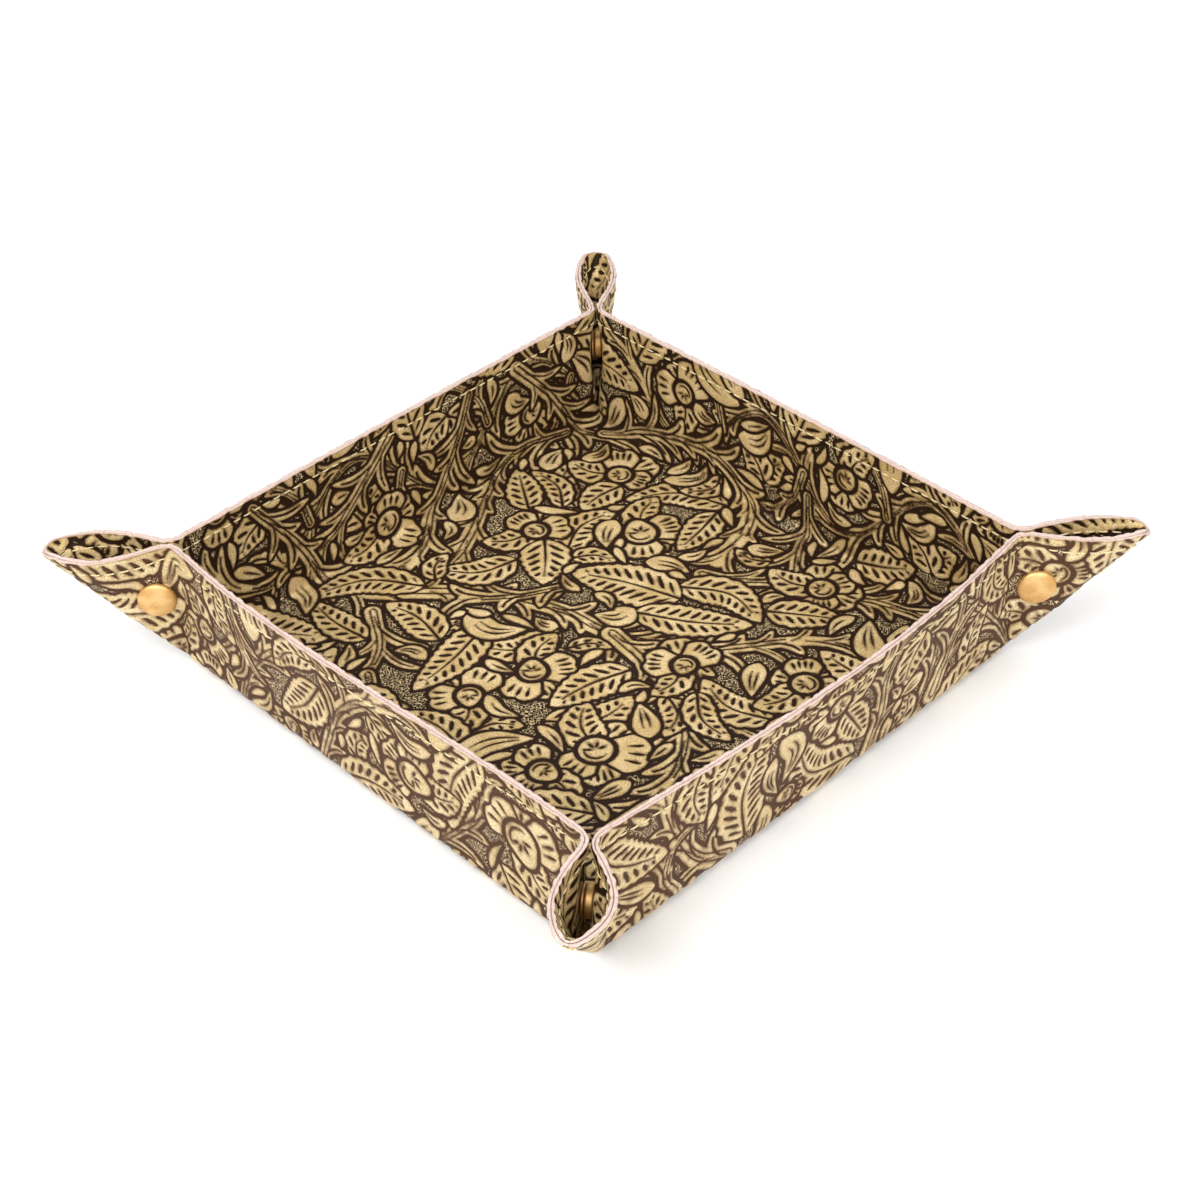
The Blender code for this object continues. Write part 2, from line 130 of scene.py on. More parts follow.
# %% [markdown]
# ## A flat grid to work on
# Fold, pattern and relief are all worked out at the nodes of one flat grid with a step of half a
# millimetre. A finer one would be slower to fill, and a coarser one would blunt the narrowest
# cuts. It reaches a little beyond the sheet, so that nothing ends at the rim.

# %% The flat grid
STEP = 0.0005
GRID_REACH = 0.152

count = int(math.ceil(GRID_REACH / STEP))
steps = np.arange(-count, count + 1) * STEP
flat_x, flat_y = np.meshgrid(steps, steps, indexing="ij")
print("flat grid:", flat_x.shape, "nodes")

# %% [markdown]
# ## Folding the square
# Leather bends but doesn't stretch, so the tray is a developable surface. It could be modelled by
# pushing a plane about by hand, or by a cloth simulation, but a formula keeps the lengths true:
# the walls are the square's rim turned up by a quarter turn, and at each corner every ray from
# the crease corner keeps its length while it swings along the outline of a teardrop.

# %% The teardrop
CURVE_STEPS = 400
SWELL_POWER = 2.0
CLOSE_POWER = 1.0


def ease(value):
    """0 below 0, 1 above 1, and a smooth S between: 3 v squared minus 2 v cubed."""
    value = np.clip(value, 0, 1)
    return value * value * (3 - 2 * value)


def teardrop(opening, along):
    """A half teardrop by its own length: its width is s to a power times (1 - s) to another."""
    crowded = 1 - (1 - np.linspace(0, 1, CURVE_STEPS)) ** 2
    widest = SWELL_POWER / (SWELL_POWER + CLOSE_POWER)
    peak = widest**SWELL_POWER * (1 - widest) ** CLOSE_POWER
    width = opening * crowded**SWELL_POWER * (1 - crowded) ** CLOSE_POWER / peak
    length = np.concatenate([[0], np.cumsum(np.hypot(np.diff(crowded), np.diff(width)))])
    share = length / length[-1]
    forward = np.interp(along, share, crowded / length[-1])
    return forward, np.interp(along, share, width / length[-1])


# %% The ears
PINCH_GAP = 0.0004


def corner_frame(corner):
    """The crease corner, the ear's outward direction and the normal towards its Y-facing side."""
    (sign_x, sign_y), _, lean, _, _ = CORNERS[corner]
    turn = Matrix.Rotation(math.radians(lean), 3, "Z")
    apex = np.array([sign_x * HALF, sign_y * HALF, LEATHER])
    outward = np.array(turn @ Vector((sign_x, sign_y, 0)).normalized())
    normal = np.array(turn @ Vector((-sign_x, sign_y, 0)).normalized())
    return apex, outward, normal


def ear_half(over_x, over_y):
    """Which half of an ear a point is on, 1 for the Y-facing wall's and -1 for the other, and how
    far it lies from the crease corner across the ear and up."""
    side = np.where(over_y >= over_x, 1.0, -1.0)
    return side, np.minimum(over_x, over_y), np.maximum(over_x, over_y)


def ear_place(corner, over_x, over_y):
    """A point of an ear keeps its distance from the crease corner, and its angle from the wall
    becomes a length along the teardrop, forwards along the ear and sideways out of its middle."""
    _, opening, _, shift, _ = CORNERS[corner]
    apex, outward, normal = corner_frame(corner)
    side, across, up = ear_half(over_x, over_y)
    reach = np.hypot(across, up)
    along = np.arctan2(across, np.maximum(up, STEP)) / EIGHTH_TURN
    forward, sideways = teardrop(opening, along)
    forward, sideways = forward * EIGHTH_TURN, sideways * EIGHTH_TURN * (1 + side * shift)
    width = reach * np.sin(sideways) + PINCH_GAP / 2
    in_plane = reach * np.cos(sideways)
    place = apex + (in_plane * np.sin(forward))[..., None] * outward
    place[..., 2] += in_plane * np.cos(forward)
    return place + (side * width)[..., None] * normal


# %% The whole fold
BOW_POWER = 1.3


def fold(x, y):
    """The base stays flat, a wall rises by how far its point lies beyond the crease and leans out
    by a bow, which is a parabola along the rim, and the corners follow ear_place."""
    over_x = np.maximum(np.abs(x) - HALF, 0)
    over_y = np.maximum(np.abs(y) - HALF, 0)
    base_x, base_y = np.clip(x, -HALF, HALF), np.clip(y, -HALF, HALF)
    place = np.stack([base_x, base_y, LEATHER + over_x + over_y], -1)
    for (face_x, face_y), bow, skew in WALLS.values():
        over = (over_x if face_x else over_y) * ((x * face_x + y * face_y) > 0)
        along = np.clip((x * -face_y + y * face_x) / HALF, -1, 1)
        here = (over > 0) & (np.abs(x * -face_y + y * face_x) <= HALF)
        lean = bow * (1 - along**2) * (1 + skew * along) * (over / RISE) ** BOW_POWER
        place[..., 0] += here * face_x * lean
        place[..., 1] += here * face_y * lean
    for corner, ((sign_x, sign_y), *_) in CORNERS.items():
        here = (x * sign_x > HALF) & (y * sign_y > HALF)
        place[here] = ear_place(corner, over_x[here], over_y[here])
    return place


# %% [markdown]
# ## Rounding the creases and pressing the studs' seats
# Real leather of this weight turns a corner over a few millimetres. A bevel would need the
# creases as edges, so the folded grid is blurred with a bell curve instead: tightly along the
# creases, and more widely where the walls are pinched into ears. Then the pinches are drawn
# together, and the leather is pressed flat where the press studs grip it.

# %% Blur
KERNEL_REACH = 3.5


def blur(values, softness):
    """Each value becomes the mean of its neighbours, weighted by exp(-distance squared / 2)."""
    reach = int(math.ceil(KERNEL_REACH * softness / STEP))
    weights = np.exp(-0.5 * (np.arange(-reach, reach + 1) * STEP / softness) ** 2)
    weights = weights / weights.sum()
    for axis in (0, 1):
        pad = [(0, 0)] * values.ndim
        pad[axis] = (reach, reach)
        padded = np.pad(values, pad, mode="reflect", reflect_type="odd")
        size = values.shape[axis]
        slides = [np.take(padded, range(i, i + size), axis) for i in range(len(weights))]
        values = sum(weight * slide for weight, slide in zip(weights, slides))
    return values


# %% Pinch and press
SNAP_INSET = 0.008
SNAP_HEIGHT = 0.027
SEAT = 0.00205
SEAT_RADIUS = 0.00885
SEAT_FALL = 0.0075
CLOSE_INSET = 0.003
CLOSE_REACH = 0.0045
CLOSE_RISE = 0.014


def draw_to(place, corner, side, width, share):
    """Points move along an ear's normal, by a share of the way, to a width from its middle."""
    apex, _, normal = corner_frame(corner)
    now = ((place - apex) @ normal) * side
    return place + ((width - now) * share * side)[..., None] * normal


def close_pinches(place, x, y):
    """Above the stud the halves of each ear are drawn together, most just outside the pinch."""
    for corner, ((sign_x, sign_y), *_) in CORNERS.items():
        side, across, up = ear_half(x * sign_x - HALF, y * sign_y - HALF)
        beside = np.exp(-(((across - CLOSE_INSET) / CLOSE_REACH) ** 2))
        share = beside * ease((up - SNAP_HEIGHT) / CLOSE_RISE)
        place = draw_to(place, corner, side, PINCH_GAP / 2, share)
    return place


def press_seats(place, x, y):
    """Near a stud a point moves along the ear's normal to the seat's distance from its middle."""
    for corner, ((sign_x, sign_y), *_) in CORNERS.items():
        side, across, up = ear_half(x * sign_x - HALF, y * sign_y - HALF)
        distance = np.hypot(across - SNAP_INSET, up - SNAP_HEIGHT)
        share = 1 - ease((distance - SEAT_RADIUS) / SEAT_FALL)
        place = draw_to(place, corner, side, SEAT, share)
    return place


# %% The folded grid and its normals
CREASE_SOFTNESS = 0.0016
PINCH_SOFTNESS = 0.0038
PINCH_REACH = 0.014
PINCH_FREE_HEIGHT = 0.010


def unit(vectors):
    """Vectors divided by their own length."""
    size = np.linalg.norm(vectors, axis=-1, keepdims=True)
    return vectors / np.maximum(size, np.finfo(float).tiny)


def grid_normal(place):
    """The cross product of the grid's two slopes: it points into the tray."""
    return unit(np.cross(*np.gradient(place, STEP, axis=(0, 1))))


sharp = fold(flat_x, flat_y)
over = np.maximum(np.abs(flat_x), np.abs(flat_y)) - HALF
from_pinch = np.abs(np.minimum(np.abs(flat_x), np.abs(flat_y)) - HALF)
soft = np.exp(-2 * (from_pinch / PINCH_REACH) ** 2)
soft = soft * ease((over - PINCH_FREE_HEIGHT) / PINCH_FREE_HEIGHT)
tight, wide = blur(sharp, CREASE_SOFTNESS), blur(sharp, PINCH_SOFTNESS)
inner_place = close_pinches(tight + (wide - tight) * soft[..., None], flat_x, flat_y)
inner_place = press_seats(inner_place, flat_x, flat_y)
outward = -grid_normal(inner_place)
print("folded grid: highest node at", round(MM * inner_place[..., 2].max(), 1), "mm")

# %% [markdown]
# ## How the pattern is cut
# Floral tooling is drawn with a swivel knife and then beaten down beside each line, so that
# leaves and flowers stand up flat between deep, dark grooves, and the bits of ground in between
# are matted with a pointed tool. The raised parts are rubbed with gold. An image could hold this,
# but a signed distance map is cleaner: for every point of the flat square it says how far inside
# or outside the gold it lies, in millimetres, so edges stay sharp at any size. A second map says
# the same of the matted ground.

# %% The two distance maps
CELL = STEP * MM
GROOVE = 1.15
FAR = 3.0


class Tooling:
    """The tooled pattern as two distance maps in mm on the flat grid's own nodes."""

    def __init__(self):
        self.axis = steps * MM
        self.gold = np.full(flat_x.shape, -FAR)
        self.ground = np.full(flat_x.shape, 2 * FAR)

    def window(self, points, reach):
        """The part of the grid within reach of some points, and its coordinates in mm."""
        low = np.floor((np.min(points, axis=0) - reach) / CELL).astype(int) + count
        high = np.ceil((np.max(points, axis=0) + reach) / CELL).astype(int) + count + 1
        low, high = np.clip(low, 0, 2 * count), np.clip(high, 1, 2 * count + 1)
        where = (slice(low[0], high[0]), slice(low[1], high[1]))
        x, y = np.meshgrid(self.axis[where[0]], self.axis[where[1]], indexing="ij")
        return where, x, y

    def carve(self, where, outline, cuts, groove=GROOVE):
        """A new motif hides what lies under it and inside its groove: the gold becomes what is
        left outside the groove, or what is inside the outline and outside the cuts."""
        kept = np.minimum(self.gold[where], outline - groove)
        self.gold[where] = np.maximum(kept, np.minimum(-outline, cuts))
        self.ground[where] = np.minimum(self.ground[where], outline - groove)


# %% [markdown]
# ## Lines that motifs grow along
# Every stem and leaf follows a soft line through a few points, so one helper makes the line and
# another tells each point of the square how far it is from it, on which side, and how far along.

# %% Lines
SPAN_STEPS = 12


def curve(points, number):
    """A Catmull-Rom line through the points, sampled at even lengths; also its length."""
    p = np.array(points, float)
    if len(p) == 2:
        p = np.array([p[0], (p[0] + p[1]) / 2, p[1]])
    ends = np.vstack([2 * p[0] - p[1], p, 2 * p[-1] - p[-2]])
    t = np.linspace(0, 1, SPAN_STEPS + 1)[:-1, None]
    fine = []
    for a, b, c, d in zip(ends, ends[1:], ends[2:], ends[3:]):
        cubic = (2 * a - 5 * b + 4 * c - d) * t**2 + (3 * b - a - 3 * c + d) * t**3
        fine.append(0.5 * (2 * b + (c - a) * t + cubic))
    fine = np.vstack([*fine, p[-1:]])
    length = np.concatenate([[0], np.cumsum(np.hypot(*np.diff(fine, axis=0).T))])
    even = np.linspace(0, length[-1], number)
    return np.stack([np.interp(even, length, fine[:, k]) for k in (0, 1)], -1), length[-1]


def along_line(line, x, y):
    """Distance to the nearest segment, its side (+1 left, -1 right) and the share along."""
    best, share, side = np.full(x.shape, np.inf), np.zeros(x.shape), np.zeros(x.shape)
    pieces = len(line) - 1
    for k, (start, step) in enumerate(zip(line, np.diff(line, axis=0))):
        from_x, from_y = x - start[0], y - start[1]
        t = np.clip((from_x * step[0] + from_y * step[1]) / (step @ step), 0, 1)
        distance = (from_x - t * step[0]) ** 2 + (from_y - t * step[1]) ** 2
        near = distance < best
        best = np.where(near, distance, best)
        share = np.where(near, (k + t) / pieces, share)
        left = step[0] * from_y >= step[1] * from_x
        side = np.where(near, np.where(left, 1.0, -1.0), side)
    return np.sqrt(best), side, share


def bowed(base, tip, bend):
    """Three points from base to tip, the middle one moved sideways by a share of the length."""
    a, b = np.array(base, float), np.array(tip, float)
    across = np.array([-(b - a)[1], (b - a)[0]])
    return [a, (a + b) / 2 + across * bend, b]


# %% Ramps
def rising(value, start, over):
    """A straight ramp from 0 at a start to 1 at a distance over it."""
    return np.clip((value - start) / over, 0, 1)


def falling(value, end, over):
    """A straight ramp down to 0 at an end, from 1 at a distance over before it."""
    return np.clip((end - value) / over, 0, 1)


# %% [markdown]
# ## Leaves, leaflets and fronds
# A tooled leaf has a midrib, a rippled edge, and a row of short slanting cuts in the middle of
# each half. A leaflet is a bowed drop with one or two flutes. A frond is a stem that slivers grow
# out of, fluted too. They could be drawn as curves and filled, but each is only a half width that
# changes along its own line, so its outline is the distance d from that line minus the half width
# at the share s along it.

# %% Leaves
LEAF_STEPS = 26
HATCH = 3.9
SLANT = 0.75
RIPPLE = 0.045
RIB = 0.5
STROKE = 0.76


def leaf(tooling, base, tip, width, bend):
    """The half width swells as 4 s (1 - s) to a power, and ripples once for each stroke. Cuts:
    the rib, and strokes, which are stripes of the length along it minus a slant times d."""
    line, length = curve(bowed(base, tip, bend), LEAF_STEPS)
    where, x, y = tooling.window(line, width + FAR)
    d, _, s = along_line(line, x, y)
    half = width * (4 * s * (1 - s)) ** 0.62 * (1 + 0.35 * (1 - 2 * s))
    half = half * (1 + RIPPLE * np.cos(math.tau * (s * length - SLANT * half) / HATCH))
    rib = np.where((s > 0.0) & (s < 0.86), d - RIB * (1 - 0.75 * s), FAR)
    share = d / np.maximum(half, 0.01)
    phase = (s * length - SLANT * d) / HATCH
    stroke = np.abs(phase - np.floor(phase) - 0.5) * HATCH / math.hypot(1, SLANT)
    taper = np.sqrt(rising(share, 0.2, 0.25) * falling(share, 0.76, 0.3))
    thick = STROKE * taper * rising(s, 0.05, 0.1) * falling(s, 0.92, 0.1)
    cuts = np.minimum(rib, np.where(thick > 0.02, stroke - thick, FAR))
    tooling.carve(where, d - half, cuts)


# %% Leaflets
LEAFLET_STEPS = 22
FLUTE = 0.36


def leaflet(tooling, base, tip, width, bend, flutes):
    """Outline as a leaf's, widest towards its tip. Cuts: lines that keep a share of its width."""
    line, _ = curve(bowed(base, tip, bend), LEAFLET_STEPS)
    where, x, y = tooling.window(line, width + FAR)
    d, side, s = along_line(line, x, y)
    half = width * (4 * s * (1 - s)) ** 0.75 * (1 + 0.5 * (2 * s - 1))
    thick = FLUTE * np.sin(math.pi * rising(s, 0.15, 0.6))
    cuts = np.full(x.shape, FAR)
    for k in range(flutes):
        offset = ((k + 1) / (flutes + 1) * 2 - 1) * 0.8 * half
        flute = np.abs(d * side - offset) - thick
        cuts = np.minimum(cuts, np.where((s > 0.15) & (s < 0.75), flute, FAR))
    tooling.carve(where, d - half, cuts)


# %% Fronds
SLIVER_STEPS = 24
SLIVER_FLUTE = 0.1
STEM_FLUTE = 0.38


def frond(tooling, points, start, end, draws, spacing=6.0, reach=18.0):
    """A stem, from one half width to another, with slivers on alternate sides that run forwards
    and then curl away. They share one outline, the least of all their own, so that they are
    joined where they start. Cuts: lines along the stem and along each sliver."""
    line, length = curve(points, 12 * len(points))
    whole, cuts = np.full(tooling.gold.shape, 2 * FAR), np.full(tooling.gold.shape, FAR)

    def add(path, shape, line_share):
        """One band of the frond; shape turns the share along it into a half width."""
        where, x, y = tooling.window(path, FAR + 2)
        d, side, s = along_line(path, x, y)
        half = shape(s)
        whole[where] = np.minimum(whole[where], d - half)
        flute = np.abs(np.abs(d * side - 0.1 * half) - line_share * half)
        flute = flute - 0.34 * np.clip(half - 0.9, 0, 0.8)
        cuts[where] = np.minimum(cuts[where], np.where((half > 1.0) & (s < 0.85), flute, FAR))

    number = int(length / spacing)
    for k in range(number):
        i = int((k + 0.1 + 0.5 * draws()) / number * (len(line) - 2))
        way = (line[i + 1] - line[i]) / np.hypot(*(line[i + 1] - line[i]))
        away = (1 - 2 * (k % 2)) * np.array([-way[1], way[0]])
        long, curl = reach * (0.6 + 0.7 * draws()), 0.7 + 0.6 * draws()
        shares = np.array([[0, 0], [0.32, 0.05], [0.66, 0.24 * curl], [0.86, 0.56 * curl]])
        hook = line[i] + long * (shares[:, :1] * way + shares[:, 1:] * away)
        plump = 1.5 + 1.1 * draws()
        add(
            curve(hook, SLIVER_STEPS)[0],
            lambda s: plump * (0.5 + 2.4 * s**1.5) * np.clip(1 - s, 0, 1) ** 0.7,
            SLIVER_FLUTE,
        )
    add(line, lambda s: start + (end - start) * s, STEM_FLUTE)
    where, _, _ = tooling.window(line, 1.6 * reach)
    tooling.carve(where, whole[where], cuts[where])


# %% [markdown]
# ## Flowers
# A flower is a disc in a deep ring, with a crescent and four long seeds cut into it, and a few
# petals with short cuts near their outer edges. Petals are carved first, so that the disc's ring
# cuts into them.

# %% Petals
PETAL_STEPS = 12
PETAL_STROKE = 0.56


def petal(tooling, centre, angle, length, width, strokes, notch):
    """Outline: an ellipse's end that widens from the middle, notched at its tip. Cuts: lines
    that spread with the petal and taper towards its edge."""
    a = np.array(centre, float)
    tip = a + length * np.array([math.cos(angle), math.sin(angle)])
    where, x, y = tooling.window(np.linspace(a, tip, PETAL_STEPS), width + FAR)
    s = ((x - a[0]) * math.cos(angle) + (y - a[1]) * math.sin(angle)) / length
    signed = -(x - a[0]) * math.sin(angle) + (y - a[1]) * math.cos(angle)
    q = np.clip(s, 0, 1)
    reach = 1 - notch * np.exp(-((signed / (0.28 * width)) ** 2))
    round_end = np.hypot(signed / width, (s - 0.52) / (0.48 * reach)) - 1
    fan = np.abs(signed) - width * (0.35 + 1.1 * q)
    outline = np.maximum(round_end * min(width, 0.48 * length), np.maximum(fan, -s * length))
    cuts = np.full(x.shape, FAR)
    for k in range(strokes):
        offset = (k + 0.5) / strokes * 2 - 1
        path = offset * width * (0.35 + 0.65 * q) * 0.78
        end = 0.9 - 0.1 * offset * offset
        taper = rising(s - end, -0.36, 0.2) * falling(s, end, 0.1)
        stroke = np.abs(signed - path) - PETAL_STROKE * taper
        cuts = np.minimum(cuts, np.where(taper > 0.05, stroke, FAR))
    tooling.carve(where, outline, cuts)


# %% Discs
RING = 1.6
CRESCENT = 0.42
SEED_LEANS = (-1.35, -0.45, 0.4, 1.25)
SEED_PLACE = 0.42
SEED_HALF = 0.095
SEED_LENGTH = 2.3


def disc(tooling, centre, radius, turn, point):
    """A circle drawn out to a point on one side. Cuts: a crescent round the far side, and long
    seeds that spread towards the point, each an ellipse that is bent a little."""
    a = np.array(centre, float)
    where, x, y = tooling.window(a[None], radius + 2 * FAR)
    c, s = math.cos(turn), math.sin(turn)
    u, v = (x - a[0]) * c + (y - a[1]) * s, -(x - a[0]) * s + (y - a[1]) * c
    r, angle = np.hypot(u, v), np.arctan2(v, u)
    outline = r - radius * (1 + point * np.clip(np.cos(angle), 0, 1) ** 6)
    swell = np.clip(-0.15 - np.cos(angle + 0.5), 0, 1) ** 0.5
    cuts = np.where(swell > 0, np.abs(r - 0.7 * radius) - CRESCENT * swell, FAR)
    for lean in SEED_LEANS:
        along = u * math.cos(lean) + v * math.sin(lean)
        across = v * math.cos(lean) - u * math.sin(lean) - 0.15 * along
        seed = np.hypot((along - SEED_PLACE * radius) / SEED_LENGTH, across) - SEED_HALF * radius
        cuts = np.minimum(cuts, seed)
    tooling.carve(where, outline, cuts, groove=RING)


# %% Whole flowers
SEPAL_LENGTH = 21
SEPAL_WIDTH = 6.2
SEPAL_BEND = 0.14
petal_draws = np.random.default_rng(3).random


def flower(tooling, centre, turn, size, petals, spread, mid, point):
    """Petals evenly round part of a circle, with a leaf in place of the last, then the disc.
    Alternate petals overlap the rest."""
    order = list(range(petals))
    for k in order[1::2] + order[0::2]:
        angle = turn + (k - (petals - 1) / 2) * spread / petals
        length, plump, strokes, notch = petal_draws(4)
        if k == petals - 1:
            middle, way = np.array(centre), np.array([math.cos(angle), math.sin(angle)])
            tip = middle + SEPAL_LENGTH * size * way
            leaf(tooling, middle + way, tip, SEPAL_WIDTH * size, SEPAL_BEND)
            continue
        angle += 0.3 * (plump - 0.5)
        long = (12.0 + 4.5 * length) * size
        wide = (0.42 + 0.12 * plump) * long * min(1.25, spread / petals / 1.05)
        petal(tooling, centre, angle, long, wide, 3 + int(2 * strokes), 0.08 + 0.2 * notch)
    disc(tooling, centre, mid * size, turn + 2.0, point)


# %% [markdown]
# ## The floor's pattern
# The big motifs of the tray's floor follow the real one: a main stem that runs across it and
# branches, flowers on both sides of it, and leaves that curl into the spaces between. They are
# placed in millimetres from the tray's middle. A stem has points along it and its half widths at
# both ends. A leaf has its two ends, its half width and its bend. A flower has its middle, its
# turn, its size, how many petals spread round how much of a turn, its disc's radius, and how
# pointed the disc is.

# %% Stems, leaves and flowers of the floor
FLOOR_STEMS = [
    ([(-132, 54), (-114, 69), (-97, 79), (-82, 86), (-70, 96)], 1.8, 1.2),
    ([(-84, 87), (-69, 97), (-40, 104), (-22, 97), (-9, 82), (-3, 61)], 1.4, 2.2),
    ([(-2, 52), (8, 57), (20, 67), (38, 77)], 1.8, 1.0),
    ([(8, 108), (10, 90), (18, 77), (28, 67)], 1.0, 1.8),
    ([(30, 69), (48, 80), (66, 85), (84, 84)], 2.0, 1.0),
    ([(-94, 77), (-98, 52), (-87, 32), (-76, 15), (-69, 0), (-68, -18)], 1.0, 2.2),
    ([(-132, 32), (-114, 24), (-95, 12), (-82, -3), (-76, -20)], 1.2, 2.0),
    ([(-134, -3), (-119, -18), (-107, -33), (-104, -48), (-114, -60)], 1.8, 1.0),
    ([(-134, -62), (-107, -44), (-77, -33), (-67, -23)], 1.2, 2.2),
    ([(-67, -23), (-45, -4), (-22, 6), (-2, 9), (23, 22), (45, 49), (60, 60)], 2.4, 1.4),
    ([(-2, 9), (23, 5), (38, 0), (55, -18), (63, -40)], 2.2, 1.2),
    ([(23, 22), (33, 12), (60, 3)], 1.6, 0.9),
    ([(-67, -38), (-52, -48), (-44, -60)], 1.8, 1.0),
    ([(-31, 15), (-38, 2), (-50, -12)], 1.0, 1.6),
    ([(63, -40), (60, -60), (46, -78), (28, -86)], 1.6, 1.0),
    ([(-44, -60), (-24, -72), (-2, -78), (16, -72)], 1.6, 1.0),
]
FLOOR_LEAVES = [
    ((-53, 14), (-68, -8), 6.5, 0.1),
    ((-22, 86), (-50, 64), 6.5, -0.1),
    ((-3, 42), (29, 47), 7.0, 0.12),
    ((64, 14), (35, 13), 6.5, 0.1),
    ((13, -36), (25, -8), 7.0, -0.12),
    ((-15, -2), (-30, -27), 6.0, 0.12),
    ((-60, 49), (-80, 67), 5.0, 0.1),
    ((-63, 46), (-86, 53), 4.5, -0.1),
    ((-44, 29), (-48, 57), 6.5, 0.1),
    ((-40, 28), (-28, 37), 4.0, 0.1),
    ((0, -56), (10, -42), 4.5, 0.1),
    ((-65, -12), (-72, 0), 4.0, 0.1),
    ((31, 0), (45, -15), 5.0, 0.12),
    ((38, 7), (61, -2), 5.0, -0.1),
    ((-32, 96), (-40, 81), 4.0, 0.1),
    ((10, 73), (-3, 70), 3.5, 0.1),
    ((-41, -29), (-41, -20), 3.0, 0.1),
    ((-7, -6), (3, 4), 3.0, 0.1),
    ((-65, -17), (-88, -48), 6.5, -0.1),
]
FLOOR_FLOWERS = [
    ((-62, 73), 1.9, 0.95, 4, 4.2, 4.4, 0.0),
    ((-60, 30), 2.6, 0.9, 4, 4.4, 4.4, 0.0),
    ((-33, 54), 0.6, 1.0, 4, 3.9, 5.4, 0.35),
    ((-7, -22), 0.4, 0.95, 4, 4.2, 4.6, 0.3),
    ((-13, -44), 3.6, 0.9, 4, 4.4, 4.4, 0.3),
    ((34, -34), 0.5, 1.1, 5, 5.0, 5.0, 0.0),
    ((29, -52), 4.4, 0.9, 4, 4.2, 4.6, 0.3),
    ((26, 14), 3.2, 0.85, 4, 4.4, 4.2, 0.25),
    ((60, 34), 2.4, 0.95, 5, 5.2, 4.6, 0.0),
    ((32, 74), 1.2, 0.95, 5, 5.4, 4.6, 0.0),
    ((-99, -8), 2.8, 1.0, 5, 5.4, 4.8, 0.0),
    ((70, -62), 5.2, 1.0, 5, 5.4, 4.8, 0.0),
    ((-42, -74), 4.6, 1.0, 5, 5.4, 4.8, 0.0),
]
print(len(FLOOR_STEMS + FLOOR_LEAVES + FLOOR_FLOWERS), "big motifs on the floor")

# %% [markdown]
# ## The outer faces that the picture shows
# The two outer walls towards the camera are lists of the same kind: long stems that fork, big
# hatched leaves beside the front ear, and flowers with pointed discs. Carved as listed, the
# stems and the leaves' bends look too slight, so all of them are strengthened alike.

# %% Motifs of the two near outer walls
NEAR_STEMS = [
    ([(-64, -92), (-57, -108), (-46, -122), (-32, -133), (-14, -141)], 1.0, 2.2),
    ([(-24, -92), (-19, -104), (-12, -119), (0, -131), (16, -139)], 1.2, 2.4),
    ([(-62, -142), (-60, -128), (-57, -112)], 1.8, 1.0),
    ([(28, -92), (38, -103), (48, -116), (52, -132)], 1.0, 2.0),
    ([(93, 23), (108, 26), (124, 25), (138, 31)], 2.2, 1.2),
    ([(93, 45), (107, 50), (122, 50), (133, 46)], 2.4, 1.0),
    ([(96, 92), (108, 84), (121, 72), (129, 60), (127, 51)], 1.0, 2.2),
    ([(98, 53), (110, 57), (124, 62)], 2.6, 1.0),
    ([(94, -40), (101, -52), (113, -60), (128, -66), (139, -69)], 2.6, 1.4),
    ([(94, -62), (104, -67), (116, -64)], 1.8, 1.0),
]
NEAR_LEAVES = [
    ((50, -140), (36, -103), 8.2, 0.08),
    ((-67, -140), (-62, -116), 5.6, 0.12),
    ((-20, -135), (-40, -122), 5.2, 0.1),
    ((3, -128), (9, -110), 5.0, -0.14),
    ((-6, -102), (2, -117), 4.6, -0.12),
    ((132, -96), (114, -66), 8.6, 0.06),
    ((141, -54), (117, -52), 6.4, 0.1),
    ((97, -33), (136, -29), 9.6, -0.08),
    ((97, 16), (124, -14), 8.6, -0.14),
    ((139, 78), (118, 90), 5.6, 0.14),
    ((100, 70), (120, 77), 5.0, -0.1),
    ((132, 42), (112, 36), 7.8, 0.06),
    ((94, 34), (107, 39), 4.6, 0.2),
]
NEAR_FLOWERS = [
    ((20, -113), 4.4, 1.0, 4, 4.6, 5.6, 0.45),
    ((66, -118), 5.4, 1.1, 4, 4.8, 5.8, 0.45),
    ((-38, -97), 1.4, 0.7, 4, 3.8, 4.4, 0.3),
    ((-78, -112), 2.6, 0.8, 4, 4.4, 4.4, 0.3),
    ((102, -15), 2.8, 0.6, 3, 3.0, 5.4, 0.5),
]
STEM_PLUMP = 1.6
LEAF_BOW = 1.6


def carve_listed(tooling, stems, leaves, flowers, seed):
    """Stems with their slivers lie lowest, then the leaves, and the flowers cover both."""
    draws = np.random.default_rng(seed).random
    for points, start, end in stems:
        frond(tooling, points, STEM_PLUMP * start, STEM_PLUMP * end, draws)
    for base, tip, width, bend in leaves:
        leaf(tooling, base, tip, width, LEAF_BOW * bend)
    for listed in flowers:
        flower(tooling, *listed)


print(len(NEAR_STEMS + NEAR_LEAVES + NEAR_FLOWERS), "big motifs on the near walls")

# %% [markdown]
# ## Vines for the other walls
# The rest of the walls and the underside carry the oldest border there is: a stem that winds up
# and down, with a flower or two leaves on a side stem in each bay. Only the wave and the draws
# differ from wall to wall.

# %% Winding vines
SIDE_SPACING = 7.0
SIDE_REACH = 9.0
HEART_SIZE = 0.86
HEART_DISC = 4.6
FLOWER_SHARE = 0.55


